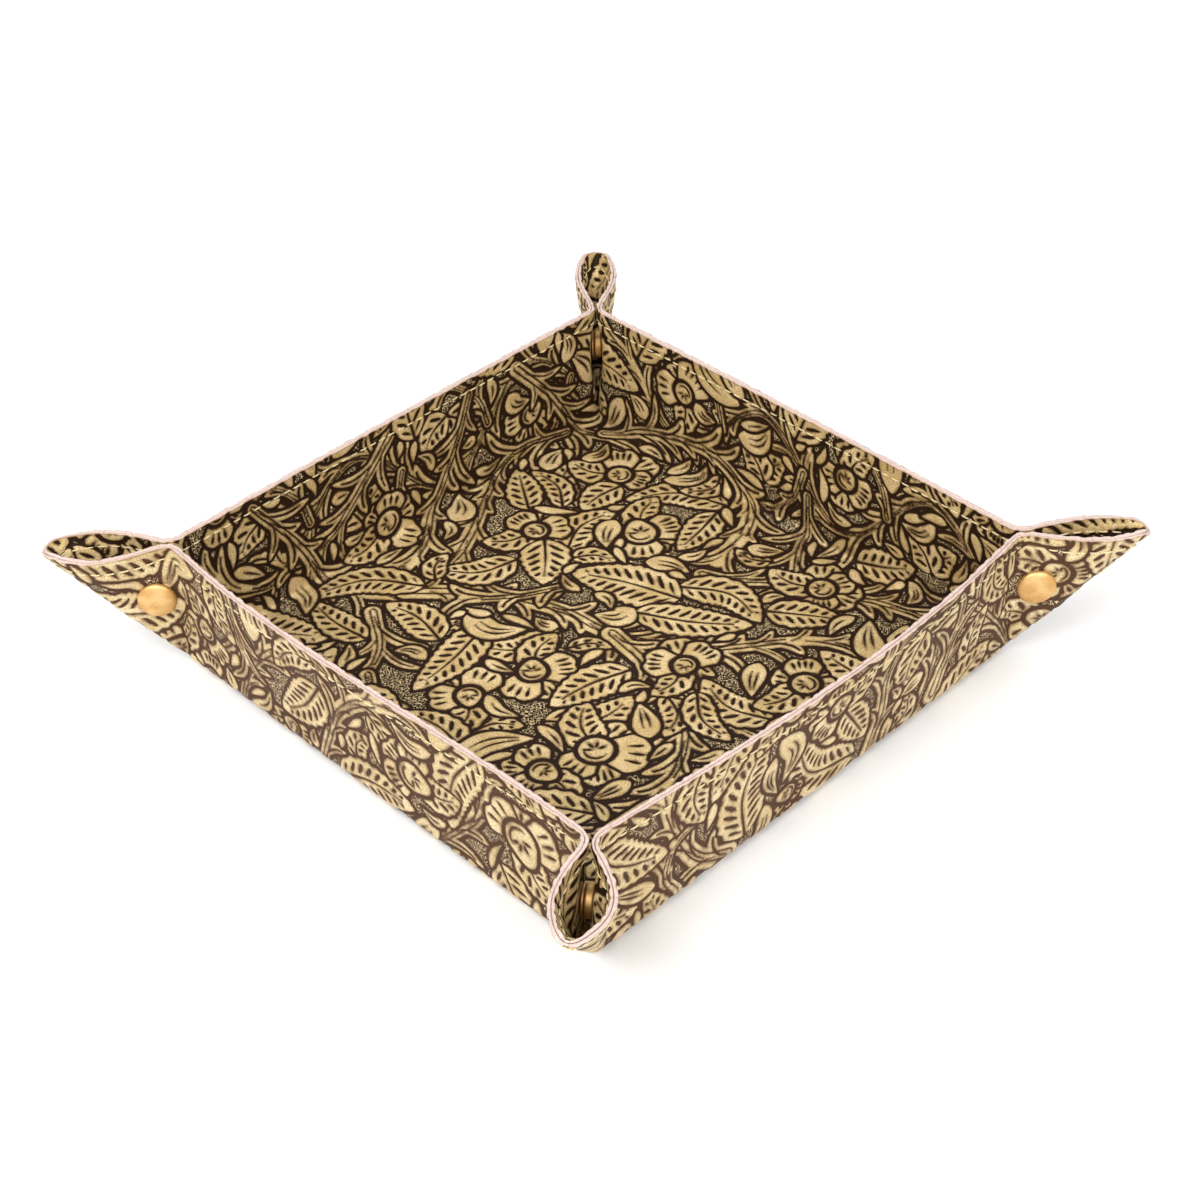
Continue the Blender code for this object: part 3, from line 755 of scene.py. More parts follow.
def vine(tooling, place, start, end, wave, middle, swing, draws):
    """The main stem follows a sine. In each half wave a side stem curls under the crest and ends
    in a flower, or in two leaves."""
    along = np.arange(start, end, wave / 8)
    height = middle + swing * np.sin(math.tau * (along - start) / wave)
    frond(tooling, place(along, height), 1.3, 1.9, draws)
    for k in range(int(2 * (end - start) / wave)):
        centre, up = start + wave * (k / 2 + 0.25), 1 - 2 * (k % 2)
        away = np.array([-0.25, -0.2, -0.06, 0.06]) * wave
        low = middle - up * swing * np.array([0.0, 0.8, 1.45, 1.2])
        frond(tooling, place(centre + away, low), 1.8, 0.9, draws, SIDE_SPACING, SIDE_REACH)
        heart = place(np.array([centre]), np.array([middle - up * 0.42 * swing]))[0]
        if draws() < FLOWER_SHARE:
            turn, spread = math.tau * draws(), 3.8 + 1.2 * draws()
            flower(tooling, heart, turn, HEART_SIZE, 4, spread, HEART_DISC, 0.4 * draws())
        else:
            shift = np.array([[-0.02, -0.3], [-0.14, 0.5], [0.12, 0.4]]) * [wave, up * swing]
            ends = place(centre + shift[:, 0], middle - up * 0.5 * swing + shift[:, 1])
            leaf(tooling, ends[0], ends[1], 5.4, 0.12)
            leaf(tooling, ends[0], ends[2], 6.2, -0.12)


# %% Walls and underside
VINE_START = -84
WALL_VINE_END, WALL_WAVE, WALL_MIDDLE, WALL_SWING = 90, 70, 24, 15
UNDER_VINE_END, UNDER_WAVE, UNDER_SWING = 88, 74, 14
UNDER_ROWS, UNDER_LOWEST, UNDER_SPACING = 4, -66, 44


def wall_place(facing):
    """Turns (along, up) of a wall into a place of the flat square, in mm."""
    face, beside = np.array(facing, float), np.array([-facing[1], facing[0]], float)
    half = HALF * MM
    return lambda along, up: [(half + u) * face + a * beside for a, u in zip(along, up)]


def under_place(along, up):
    """The underside's own coordinates are the flat square's."""
    return list(np.stack([along, up], -1))


def carve_walls(tooling, walls, seed):
    """A vine along each of the named walls, in its own wave."""
    draws = np.random.default_rng(seed).random
    for wall in walls:
        wave, start = WALL_WAVE + 12 * draws(), VINE_START + 8 * draws()
        place = wall_place(WALLS[wall][0])
        vine(tooling, place, start, WALL_VINE_END, wave, WALL_MIDDLE, WALL_SWING, draws)


def carve_under(tooling, seed):
    """The underside has the same vines in rows."""
    draws = np.random.default_rng(seed).random
    for row in range(UNDER_ROWS):
        level = UNDER_LOWEST + UNDER_SPACING * row
        start, wave = VINE_START + 8 * draws(), UNDER_WAVE + 8 * draws()
        vine(tooling, under_place, start, UNDER_VINE_END, wave, level, UNDER_SWING, draws)


# %% [markdown]
# ## Filling the rest
# A tooler fills what is left over from big to small: a flower where there is room for one, then
# leaves, then leaflets. The same can be done with the distance map: find the widest free places,
# look round each for the longest free run, lay a motif of that length and width in it, and start
# again until only crumbs of ground are left. They are matted, and so is every second one of the
# small gaps.

# %% Free room
FREE_REACH = 24
RUN_REACH = 20


def free_distance(tooling):
    """Distance in mm from every free node to the nearest carved one: along rows first, then the
    smallest root of that squared plus the square of a step across."""
    taken = tooling.ground < 0
    place = np.arange(len(tooling.axis))[:, None]
    before = np.maximum.accumulate(np.where(taken, place, -FREE_REACH), axis=0)
    behind = np.where(taken, place, len(place) + FREE_REACH)
    after = np.minimum.accumulate(behind[::-1], axis=0)[::-1]
    along = np.minimum(np.minimum(place - before, after - place), FREE_REACH)
    along = along.astype(np.float32) ** 2
    sides = ((0, 0), (FREE_REACH, FREE_REACH))
    padded = np.pad(along, sides, constant_values=FREE_REACH**2)
    width = along.shape[1]
    best = along
    for step in range(-FREE_REACH, FREE_REACH + 1):
        first = FREE_REACH + step
        best = np.minimum(best, padded[:, first : first + width] + step * step)
    return np.sqrt(best) * STEP * MM


def free_run(free, spot, angle, least):
    """How far one can go from a spot at an angle before the free distance falls under least."""
    t = np.arange(0, RUN_REACH, CELL)
    x, y = spot[0] + t * math.cos(angle), spot[1] + t * math.sin(angle)
    i = np.clip(np.round(x / CELL).astype(int) + count, 0, 2 * count)
    j = np.clip(np.round(y / CELL).astype(int) + count, 0, 2 * count)
    closed = np.nonzero(free[i, j] < least)[0]
    return t[closed[0]] if len(closed) else t[-1]


# %% Laying one motif
DIRECTIONS = np.arange(16) * math.pi / 16
FLOWER_ROOM = 9
LEAF_ROOM = 5.6
TWO_FLUTES_ROOM = 2.9
ONE_FLUTE_ROOM = 1.9


def lay_motif(tooling, free, spot, room, draws):
    """The widest motif that its room allows, laid along the longest free run through the spot."""
    least = 0.25 + 0.12 * room
    ahead = [free_run(free, spot, angle, least) for angle in DIRECTIONS]
    back = [free_run(free, spot, angle + math.pi, least) for angle in DIRECTIONS]
    best = int(np.argmax(np.add(ahead, back)))
    ahead, back, angle = ahead[best], back[best], DIRECTIONS[best]
    if draws() < 0.5:
        ahead, back, angle = back, ahead, angle + math.pi
    way = np.array([math.cos(angle), math.sin(angle)])
    most = 2.1 * room + 4.0
    base, tip = spot - way * min(back, most), spot + way * min(ahead, most)
    bend = 0.22 * (draws() - 0.5)
    if room > FLOWER_ROOM and draws() < 0.5:
        turn, spread = math.tau * draws(), 3.6 + 1.6 * draws()
        flower(tooling, spot, turn, room / 12.5, 4, spread, 4.8, 0.4 * draws())
    elif room > LEAF_ROOM:
        leaf(tooling, base, tip, 0.92 * room, bend)
    elif room > ONE_FLUTE_ROOM:
        leaflet(tooling, base, tip, 0.9 * room, 2.4 * bend, 1 + int(room > TWO_FLUTES_ROOM))
    else:
        leaflet(tooling, base, tip, 0.95 * room, bend, 0)


# %% Filling
SMALLEST = 1.4
MATTED = 5.0
MOST_ROOM = 10.5
FILL_MARGIN = 2


def square_round(i, j, reach):
    """The nodes within a reach of one node, as slices."""
    return slice(max(i - reach, 0), i + reach + 1), slice(max(j - reach, 0), j + reach + 1)


def fill_gaps(tooling, seed):
    """From the widest free place down; places far apart are filled in the same round."""
    draws = np.random.default_rng(seed).random
    motifs = 0
    inside = np.abs(tooling.axis) < SHEET_HALF * MM + FILL_MARGIN
    open_to_fill = inside[:, None] & inside[None, :]
    while True:
        free = free_distance(tooling)
        score = np.where(open_to_fill, free, 0)
        widest = score.max()
        if widest < SMALLEST:
            return motifs
        while score.max() >= max(0.8 * widest, SMALLEST):
            i, j = np.unravel_index(int(np.argmax(score)), score.shape)
            room = min(float(score[i, j]), MOST_ROOM)
            if room < MATTED and draws() < 0.5:
                open_to_fill[square_round(i, j, int(math.ceil(room / CELL)))] = False
            else:
                spot = np.array([tooling.axis[i], tooling.axis[j]])
                lay_motif(tooling, free, spot, room, draws)
                motifs += 1
            reach = int(round((2.1 * room + 3.0 + room) / CELL))
            score[square_round(i, j, reach)] = 0


# %% Carve both faces
inside_tooling, outside_tooling = Tooling(), Tooling()
carve_walls(inside_tooling, WALLS, 11)
carve_listed(inside_tooling, FLOOR_STEMS, FLOOR_LEAVES, FLOOR_FLOWERS, 12)
carve_walls(outside_tooling, ("back", "left"), 21)
carve_under(outside_tooling, 22)
carve_listed(outside_tooling, NEAR_STEMS, NEAR_LEAVES, NEAR_FLOWERS, 23)
print("motifs filled in inside:", fill_gaps(inside_tooling, 5))
print("motifs filled in outside:", fill_gaps(outside_tooling, 8))

# %% [markdown]
# ## From the maps to relief
# The grooves are pressed about 0.4 mm into the leather, and the raised parts keep a slight crown.
# That is real shape, so it goes into the mesh and not into a bump map: each node moves along the
# leather's own normal, which is how a displacement works, but here the normals of the finished
# surface can be worked out on the same grid, so that neighbouring pieces shade as one.

# %% Relief
GROOVE_DEPTH = 0.00042
GROUND_RISE = 0.00014
CROWN = 0.00010
STITCH_INSET = 0.0047
STITCH_DIP = 0.00012
DIP_WIDTH = 0.0009
SOFT_EDGE = 0.0003


def rim_distance(x, y):
    """How far a point of the flat square lies inside its edge: a box's distance, less a radius."""
    over_x = np.abs(x) - (SHEET_HALF - CORNER_ROUND)
    over_y = np.abs(y) - (SHEET_HALF - CORNER_ROUND)
    outside = np.hypot(np.maximum(over_x, 0), np.maximum(over_y, 0))
    return CORNER_ROUND - outside - np.minimum(np.maximum(over_x, over_y), 0)


def relief(tooling):
    """Depth into the leather in metres: deep in the grooves, less in the ground, least in the
    middle of the gold, with a dip along the line of stitches."""
    cut = ease((0.25 - tooling.gold) / 0.6)
    depth = GROOVE_DEPTH * cut - GROUND_RISE * ease(tooling.ground / 0.8) * cut
    depth = depth - CROWN * ease(tooling.gold / 1.8) + CROWN
    depth = blur(depth, SOFT_EDGE)
    dip = np.exp(-(((rim_distance(flat_x, flat_y) - STITCH_INSET) / DIP_WIDTH) ** 2))
    return depth + STITCH_DIP * dip


def read(grid, x, y):
    """A grid's value at any flat point, straight between its four nearest nodes."""
    column, row = x / STEP + count, y / STEP + count
    i = np.clip(np.floor(column).astype(int), 0, 2 * count - 1)
    j = np.clip(np.floor(row).astype(int), 0, 2 * count - 1)
    a, b = column - i, row - j
    if grid.ndim == 3:
        a, b = a[..., None], b[..., None]
    low = grid[i, j] * (1 - a) + grid[i + 1, j] * a
    high = grid[i, j + 1] * (1 - a) + grid[i + 1, j + 1] * a
    return low * (1 - b) + high * b


# %% The two faces
class Side:
    """One ply: where its tooled face lies, that face's normals, and its two distance maps."""

    def __init__(self, name, slot, tooling, sign):
        self.name, self.slot, self.tooling, self.sign = name, slot, tooling, sign
        self.relief = relief(tooling)
        self.depth = self.relief if sign < 0 else LEATHER - self.relief
        self.face = inner_place + self.depth[..., None] * outward
        self.normal = -sign * grid_normal(self.face)

    def shell(self, x, y, depth):
        """A point at a depth below this ply's own face, before the relief."""
        from_inside = np.asarray(depth if self.sign < 0 else LEATHER - depth)
        return read(inner_place, x, y) + from_inside[..., None] * unit(read(outward, x, y))


inside = Side("inside", "leather_inside", inside_tooling, -1)
outside = Side("outside", "leather_outside", outside_tooling, 1)
print("deepest groove in mm:", round(MM * max(inside.relief.max(), outside.relief.max()), 2))

# %% [markdown]
# ## Meshes from arrays
# Blender can be handed a whole mesh at once: the points, then the corners of all faces in one
# row, then where each face starts. That is quick, and every piece below is made this way. Two
# sheets that have different steps are joined along their borders like a zip, with one triangle
# for each of their steps.

# %% Grids and zips
def grid_quads(rows, columns, first=0):
    """The corners of every cell of a grid of numbered points."""
    index = first + np.arange(rows * columns).reshape(rows, columns)
    quads = np.stack([index[:-1, :-1], index[1:, :-1], index[1:, 1:], index[:-1, 1:]], -1)
    return index, quads.reshape(-1, 4)


def zip_border(one, other):
    """Triangles between two rows of points that run side by side from end to end: each step of
    a row is joined to the point of the other row that lies nearest by share of the length."""
    share = np.linspace(0, 1, len(one))
    to_other = np.round((share[:-1] + share[1:]) / 2 * (len(other) - 1)).astype(int)
    first = np.stack([one[:-1], one[1:], other[to_other]], -1)
    meets = np.searchsorted(to_other, np.arange(len(other) - 1), side="right")
    second = np.stack([one[meets], other[1:], other[:-1]], -1)
    return np.concatenate([first, second])


def sides_of(grid):
    """The four borders of a grid, one after the other the same way round."""
    return [grid[:, 0], grid[-1, :], grid[::-1, -1], grid[0, ::-1]]


# %% Meshes and what they carry
def make_mesh(name, points, quads, triangles, materials=None):
    """A mesh from arrays of points and faces, smooth all over."""
    mesh = bpy.data.meshes.new(name)
    mesh.vertices.add(len(points))
    mesh.vertices.foreach_set("co", points.astype(np.float32).ravel())
    corners = np.concatenate([quads.ravel(), triangles.ravel()]).astype(np.int32)
    sizes = np.concatenate([np.full(len(quads), 4), np.full(len(triangles), 3)])
    starts = np.concatenate([[0], np.cumsum(sizes)[:-1]]).astype(np.int32)
    mesh.loops.add(len(corners))
    mesh.loops.foreach_set("vertex_index", corners)
    mesh.polygons.add(len(sizes))
    mesh.polygons.foreach_set("loop_start", starts)
    if materials is not None:
        mesh.polygons.foreach_set("material_index", materials.astype(np.int32))
    mesh.update(calc_edges=True)
    mesh.shade_smooth()
    return mesh


def store(mesh, name, values):
    """A number for each vertex, which a material can read by name."""
    numbers = values.astype(np.float32).ravel()
    mesh.attributes.new(name, "FLOAT", "POINT").data.foreach_set("value", numbers)


def store_uv(mesh, x, y):
    """Two coordinates for each vertex, handed on to the corners of its faces."""
    vertex = np.empty(len(mesh.loops), np.int32)
    mesh.loops.foreach_get("vertex_index", vertex)
    pairs = np.stack([x.ravel()[vertex], y.ravel()[vertex]], -1)
    mesh.uv_layers.new(name="sheet").data.foreach_set("uv", pairs.astype(np.float32).ravel())


def add_object(name, data):
    """An object at the origin, from a finished mesh, a lamp or a camera."""
    added = bpy.data.objects.new(name, data)
    bpy.context.scene.collection.objects.link(added)
    return added


# %% [markdown]
# ## One piece of leather
# Each panel of each ply becomes a closed skin: a fine grid for the tooled face, a few rows that
# roll over the raw rim, and a coarse back that lies against the other ply, where nobody looks. A
# Solidify modifier would give a back as fine as the face, at twice the triangles. The raw rim is
# a little fuzzy, as cut leather is.

# %% Rim and back
RIM_PROFILE = [
    (0.00007, 0.00008),
    (0.0, 0.00028),
    (0.00002, 0.0006),
    (0.00008, 0.0009),
    (0.00024, 0.00112),
]
RIM_FUZZ = 0.00010
BACK_STEP = 4
BACK_DEPTH = 0.0012
BACK_INSET = 0.0009
fuzz = np.random.default_rng(11)


def rim_rows(side, x, y, away):
    """Rows that roll over the raw edge: each lies a profile's steps back and down from the face's
    last row, and takes on less and less of the relief that it starts with."""
    carved = read(side.relief, x, y)
    rows = []
    for back, depth in RIM_PROFILE:
        rough = fuzz.normal(0, RIM_FUZZ, len(x))
        depth = depth + carved * (1 - depth / RIM_PROFILE[-1][1])
        edge_x, edge_y = x + (rough - back) * away[:, 0], y + (rough - back) * away[:, 1]
        rows.append((edge_x, edge_y, side.shell(edge_x, edge_y, depth)))
    return [np.stack(blocks) for blocks in zip(*rows)]


def sparse(size):
    """Some of a grid's rows, evenly picked, with the first and the last."""
    return np.unique(np.round(np.linspace(0, size - 1, max(2, size // BACK_STEP))).astype(int))


def back_places(x, y, away, rim):
    """Flat places of the coarse back, drawn in from the rim."""
    rows, columns = sparse(x.shape[0]), sparse(x.shape[1])
    back_x, back_y = x[np.ix_(rows, columns)], y[np.ix_(rows, columns)]
    if rim:
        back_x[-1] -= BACK_INSET * away[columns, 0]
        back_y[-1] -= BACK_INSET * away[columns, 1]
    return back_x, back_y


def winding(x, y):
    """Twice the area inside a grid's border: above 0 when it runs anticlockwise."""
    border_x, border_y = np.concatenate(sides_of(x)), np.concatenate(sides_of(y))
    return np.sum(border_x * np.roll(border_y, -1) - border_y * np.roll(border_x, -1))


# %% The closed skin
def leather_mesh(name, side, x, y, rim):
    """The closed skin of one panel of one ply, from the flat places of its face's grid."""
    face = read(side.face, x, y)
    normal = unit(read(side.normal, x, y))
    away = unit(np.stack([x[-1] - x[-2], y[-1] - y[-2]], -1))
    all_x, all_y, front_points = x, y, face
    if rim:
        rows = rim_rows(side, x[-1], y[-1], away)
        all_x, all_y, front_points = (np.concatenate(pair) for pair in zip((x, y, face), rows))
    front, front_quads = grid_quads(*all_x.shape)
    back_x, back_y = back_places(x, y, away, rim)
    back_points = side.shell(back_x, back_y, np.full(back_x.shape, BACK_DEPTH))
    back, back_quads = grid_quads(*back_x.shape, first=front.size)
    seams = [zip_border(*pair) for pair in zip(sides_of(front), sides_of(back))]
    triangles = np.concatenate(seams)[:, ::-1]
    quads = np.concatenate([front_quads, back_quads[:, ::-1]])
    if winding(x, y) * side.sign > 0:
        quads, triangles = quads[:, ::-1], triangles[:, ::-1]
    finish = np.ones(len(quads) + len(triangles), int)
    finish[: (x.shape[0] - 1) * (x.shape[1] - 1)] = 0
    points = np.concatenate([front_points.reshape(-1, 3), back_points.reshape(-1, 3)])
    mesh = make_mesh(name, points, quads, triangles, finish)
    flat_u = np.concatenate([all_x.ravel(), back_x.ravel()])
    flat_v = np.concatenate([all_y.ravel(), back_y.ravel()])
    store(mesh, "gold", read(side.tooling.gold, flat_u, flat_v))
    store(mesh, "ground", read(side.tooling.ground, flat_u, flat_v))
    store(mesh, "rim", MM * rim_distance(flat_u, flat_v))
    store_uv(mesh, flat_u / (2 * GRID_REACH) + 0.5, flat_v / (2 * GRID_REACH) + 0.5)
    shading = np.zeros((len(points), 3), np.float32)
    shading[: face.size // 3] = normal.reshape(-1, 3)
    mesh.normals_split_custom_set_from_vertices(shading)
    return mesh


# %% [markdown]
# ## Where the leather meets a hinge
# The imported tray is stiff panels on hinges, but real leather bends without a gap, and a stud's
# cap is stiff. Here a piece that lies next to a hinge only has its place baked into its mesh: it
# is not shared between bodies and does not bend.


def bend_at_crease(piece):
    """Only bakes the piece's place into its mesh; it does not bend at the crease."""
    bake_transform(piece)


def bend_at_pinch(piece, corner, wall):
    """Works out where the pinch lies, then only bakes the piece's place into its mesh."""
    apex, out, normal = corner_frame(corner)
    (face_x, face_y), _, _ = WALLS[wall]
    face = np.array([face_x, face_y, 0.0])
    toward = apex * (1 - np.abs(face))
    toward = np.array([*unit(toward[:2]), 0.0])
    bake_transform(piece)


def bend_at_tip(piece):
    """Only bakes the piece's place into its mesh; it does not bend across the tip."""
    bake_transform(piece)


# %% [markdown]
# ## The panels
# The floor is two grids inside, because one would be too fine for a single piece. A wall's grid
# is mitred into the corner below and stops short of the ears above. The ears are fans of rays
# from the crease corner: the first part of a fan is the wing, which takes in the end of its wall,
# and the other is the tip.

# %% Floor and walls in the flat
WALL_END = 0.006
BASE_EDGE = HALF - 0.004


def base_grid(low, high, step):
    """Rows across the floor and columns from low to high along it."""
    across = np.linspace(-BASE_EDGE, BASE_EDGE, int(round(2 * BASE_EDGE / step)) + 1)
    along = np.linspace(low, high, int(round((high - low) / step)) + 1)
    return np.meshgrid(across, along, indexing="ij")


def wall_grid(wall):
    """Rows from the floor's edge up to the rim, each as wide as the mitre leaves it."""
    (face_x, face_y), _, _ = WALLS[wall]
    up = np.concatenate([np.arange(BASE_EDGE - HALF, RISE - STEP, STEP), [RISE]])
    end = HALF - np.minimum(np.abs(up), WALL_END)
    along = end[:, None] * np.linspace(-1, 1, int(round(2 * (HALF - WALL_END) / STEP)) + 1)
    out = np.broadcast_to((HALF + up)[:, None], along.shape)
    return out * face_x - along * face_y, out * face_y + along * face_x


# %% Ears in the flat
WING_SHARE = 0.62
PINHOLE = 0.006
WING_RAYS = 48
TIP_RAYS = 44
TIP_ROWS = 112


def rim_reach(turn):
    """How far the rim lies along a ray from the crease corner, round the rounded corner too."""
    straight = RISE / np.cos(turn)
    centre = RISE - CORNER_ROUND
    toward = centre * (np.cos(turn) + np.sin(turn))
    rounded = toward + np.sqrt(np.maximum(toward**2 - 2 * centre**2 + CORNER_ROUND**2, 0))
    return np.where(RISE * np.tan(turn) > centre, rounded, straight)


def ear_flat(corner, wall, across, up):
    """Turns across and up of an ear's half into a place of the flat square."""
    (sign_x, sign_y), *_ = CORNERS[corner]
    if WALLS[wall][0][0]:
        return sign_x * (HALF + up), sign_y * (HALF + across)
    return sign_x * (HALF + across), sign_y * (HALF + up)


def wing_grid(corner, wall):
    """Rows of a share of the height: first along the wall's end, then round the fan."""
    rows = np.linspace(PINHOLE, 1, int(round(RISE / STEP)))[:, None]
    strip = np.linspace(-1, 0, int(round(WALL_END / STEP)) + 1)[:-1]
    turns = np.arctan(np.linspace(0, math.tan(WING_SHARE * EIGHTH_TURN), WING_RAYS))
    reach = rows * rim_reach(turns)
    along = np.minimum(rows * RISE, WALL_END) * strip
    across = np.concatenate([along, reach * np.sin(turns)], axis=1)
    wall_up = np.broadcast_to(rows * RISE, along.shape)
    return ear_flat(corner, wall, across, np.concatenate([wall_up, reach * np.cos(turns)], axis=1))


def tip_grid(corner, wall):
    """Rows of a share of the reach, from the wing's last ray to the ear's spine."""
    rows = np.linspace(PINHOLE, 1, TIP_ROWS)[:, None]
    turns = np.linspace(WING_SHARE, 1, TIP_RAYS) * EIGHTH_TURN
    reach = rows * rim_reach(turns)
    return ear_flat(corner, wall, reach * np.sin(turns), reach * np.cos(turns))


# %% [markdown]
# ## Cutting the pieces
# Now every panel is cut once for each ply, and only the floor's pieces are handed to a body, the
# base. A piece is named for its place and its ply, and stands for the imported ply of the same
# place. The underside is hardly ever seen, so its step is twice as long and it needs only one
# piece.

# %% Pieces of leather
FLOOR_SPANS = {
    "inside": (STEP, {"front": (-BASE_EDGE, 0), "back": (0, BASE_EDGE)}),
    "outside": (2 * STEP, {"whole": (-BASE_EDGE, BASE_EDGE)}),
}
corner_walls = []
for corner, ((sign_x, sign_y), *_) in CORNERS.items():
    own = [wall for wall, (facing, *_) in WALLS.items() if facing in ((sign_x, 0), (0, sign_y))]
    corner_walls += [(corner, wall) for wall in own]
leather_pieces = []


def add_leather(name, side, grid, rim, node):
    """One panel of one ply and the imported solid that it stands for."""
    ply = "inner" if side.sign < 0 else "outer"
    piece = add_object(f"{name}_{side.name}", leather_mesh(name, side, *grid, rim))
    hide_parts(f"{node}_{ply}_ply")
    leather_pieces.append((piece, side))
    return piece


for side in (inside, outside):
    step, spans = FLOOR_SPANS[side.name]
    for part, (low, high) in spans.items():
        piece = add_leather(f"floor_{part}", side, base_grid(low, high, step), False, "base")
        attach(piece, "base")
    for wall in WALLS:
        piece = add_leather(f"{wall}_wall", side, wall_grid(wall), True, f"{wall}_wall")
        bend_at_crease(piece)
    for corner, wall in corner_walls:
        name = f"{corner}_{wall}"
        piece = add_leather(f"{name}_wing", side, wing_grid(corner, wall), True, f"{name}_wing")
        bend_at_pinch(piece, corner, wall)
        piece = add_leather(f"{name}_tip", side, tip_grid(corner, wall), True, f"{name}_tip")
        bend_at_tip(piece)
triangles = sum(len(piece.data.loops) - 2 * len(piece.data.polygons) for piece, _ in leather_pieces)
print(len(leather_pieces), "pieces of leather with", triangles, "triangles")

# %% [markdown]
# ## The stitching
# One line of lockstitch runs round the tray just inside its raw edge, cream thread on both
# faces. A curve with a bevel could follow it, but each stitch is a rod of its own. It is a short
# rounded one that lies on the leather and dips into it at both ends, and it is bent with the same
# fold as the leather, because its points are given as flat places and depths.

# %% Places of the stitches
STITCH_PITCH = 0.0041
CORNER_STEPS = 40


def stitch_places():
    """Even steps along a rounded square inside the rim: centres and directions in the flat."""
    half, radius = SHEET_HALF - STITCH_INSET, CORNER_ROUND - STITCH_INSET / 2
    turns = np.linspace(0, EIGHTH_TURN * 2, CORNER_STEPS)
    loop = []
    for quarter in range(4):
        angle = turns + quarter * 2 * EIGHTH_TURN
        mid = quarter * 2 * EIGHTH_TURN + EIGHTH_TURN
        centre = (half - radius) * math.sqrt(2) * np.array([math.cos(mid), math.sin(mid)])
        loop.append(centre + radius * np.stack([np.cos(angle), np.sin(angle)], -1))
    loop = np.concatenate([*loop, loop[0][:1]])
    length = np.concatenate([[0], np.cumsum(np.hypot(*np.diff(loop, axis=0).T))])
    number = int(round(length[-1] / STITCH_PITCH))
    even = (np.arange(number) + 0.5) * length[-1] / number
    places = np.stack([np.interp(even, length, loop[:, k]) for k in (0, 1)], -1)
    ahead = np.stack([np.interp(even + STEP, length, loop[:, k]) for k in (0, 1)], -1)
    return places, unit(ahead - places)


def wall_facing(facing):
    """The name of the wall that faces a way."""
    return next(wall for wall, (face, *_) in WALLS.items() if face == facing)


def panel_of(place):
    """The wall, wing or tip that a flat place belongs to, by the same borders as the leather's."""
    over = np.abs(place) - HALF
    facing = (0, np.sign(place[1])) if over[1] > over[0] else (np.sign(place[0]), 0)
    if over.min() <= -WALL_END:
        return None, wall_facing(facing), "wall"
    corner = next(name for name, (signs, *_) in CORNERS.items() if (place * signs > 0).all())
    turn = math.atan2(max(over.min(), 0), over.max()) / EIGHTH_TURN
    return corner, wall_facing(facing), "wing" if turn < WING_SHARE else "tip"


places, ways = stitch_places()
panels = [panel_of(place) for place in places]
print(len(places), "stitches on each side")

# %% Rods of thread
STITCH_LENGTH = 0.0031
THREAD = 0.00024
STITCH_RINGS = 7
THREAD_SIDES = 6
SEAT_SHARES = (-0.4, -0.2, 0, 0.2, 0.4)


def rod_faces(number):
    """Quads round each of a number of rods, and fans of triangles that close their ends."""
    rings = np.arange(number * STITCH_RINGS * THREAD_SIDES)
    rings = rings.reshape(number, STITCH_RINGS, THREAD_SIDES)
    beside = np.roll(rings, -1, axis=2)
    quads = np.stack([rings[:, :-1], rings[:, 1:], beside[:, 1:], beside[:, :-1]], -1)
    caps = []
    for ring, order in ((rings[:, 0], 1), (rings[:, -1], -1)):
        for k in range(1, THREAD_SIDES - 1):
            caps.append(np.stack([ring[:, 0], ring[:, k], ring[:, k + 1]], -1)[:, ::order])
    return quads.reshape(-1, 4), np.concatenate(caps)


def thread_mesh(name, side, places, ways):
    """Rods: a ring's points go round an ellipse of the thread's radius while the ring goes along
    the stitch, and its middle sinks towards both ends as the fourth power of the way out. A rod
    lies on the highest relief under it."""
    along = np.linspace(-1, 1, STITCH_RINGS)[:, None]
    round_off = np.sqrt(np.clip(1.02 - along**4, 0, 1))
    angle = np.arange(THREAD_SIDES) * math.tau / THREAD_SIDES
    forward = along * STITCH_LENGTH / 2 * np.ones(THREAD_SIDES)
    sideways = THREAD * round_off * np.cos(angle)
    lift = THREAD * (0.75 - 1.25 * along**4) + THREAD * round_off * np.sin(angle)
    across = np.stack([-ways[:, 1], ways[:, 0]], -1)[:, None, None]
    flat = places[:, None, None] + forward[..., None] * ways[:, None, None]
    flat = flat + sideways[..., None] * across
    under = [places + share * STITCH_LENGTH * ways for share in SEAT_SHARES]
    seat = np.min([read(side.relief, spot[:, 0], spot[:, 1]) for spot in under], axis=0)
    points = side.shell(flat[..., 0], flat[..., 1], seat[:, None, None] - lift)
    quads, triangles = rod_faces(len(places))
    if side.sign < 0:
        quads, triangles = quads[:, ::-1], triangles[:, ::-1]
    mesh = make_mesh(name, points.reshape(-1, 3), quads, triangles)
    store(mesh, "along_thread", np.tile(forward * MM, (len(places), 1, 1)))
    return mesh


# %% Stitches on every panel
thread_pieces = []
for side in (inside, outside):
    for corner, wall, part in sorted(set(panels), key=str):
        mine = np.array([panel == (corner, wall, part) for panel in panels])
        name = f"{wall}_wall" if part == "wall" else f"{corner}_{wall}_{part}"
        mesh = thread_mesh(name, side, places[mine], ways[mine])
        piece = add_object(f"{name}_stitches_{side.name}", mesh)
        if part == "wall":
            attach(piece, f"{wall}_wall")
        elif part == "wing":
            bend_at_pinch(piece, corner, wall)
        else:
            bend_at_tip(piece)
        thread_pieces.append(piece)
print(len(thread_pieces), "pieces of stitching")

# %% [markdown]
# ## The press studs
# Each corner is held by one line-20 press stud: a domed cap whose tube goes through the leather
# into a socket, and on the other half a stud on a post. All four are turned or drawn parts. A
# Screw modifier could spin them, but its result would still have to be turned into place, so each
# is a profile of (radius, height) whose spin is worked out here as one grid. Heights count from
# the ear's middle plane towards the cap.

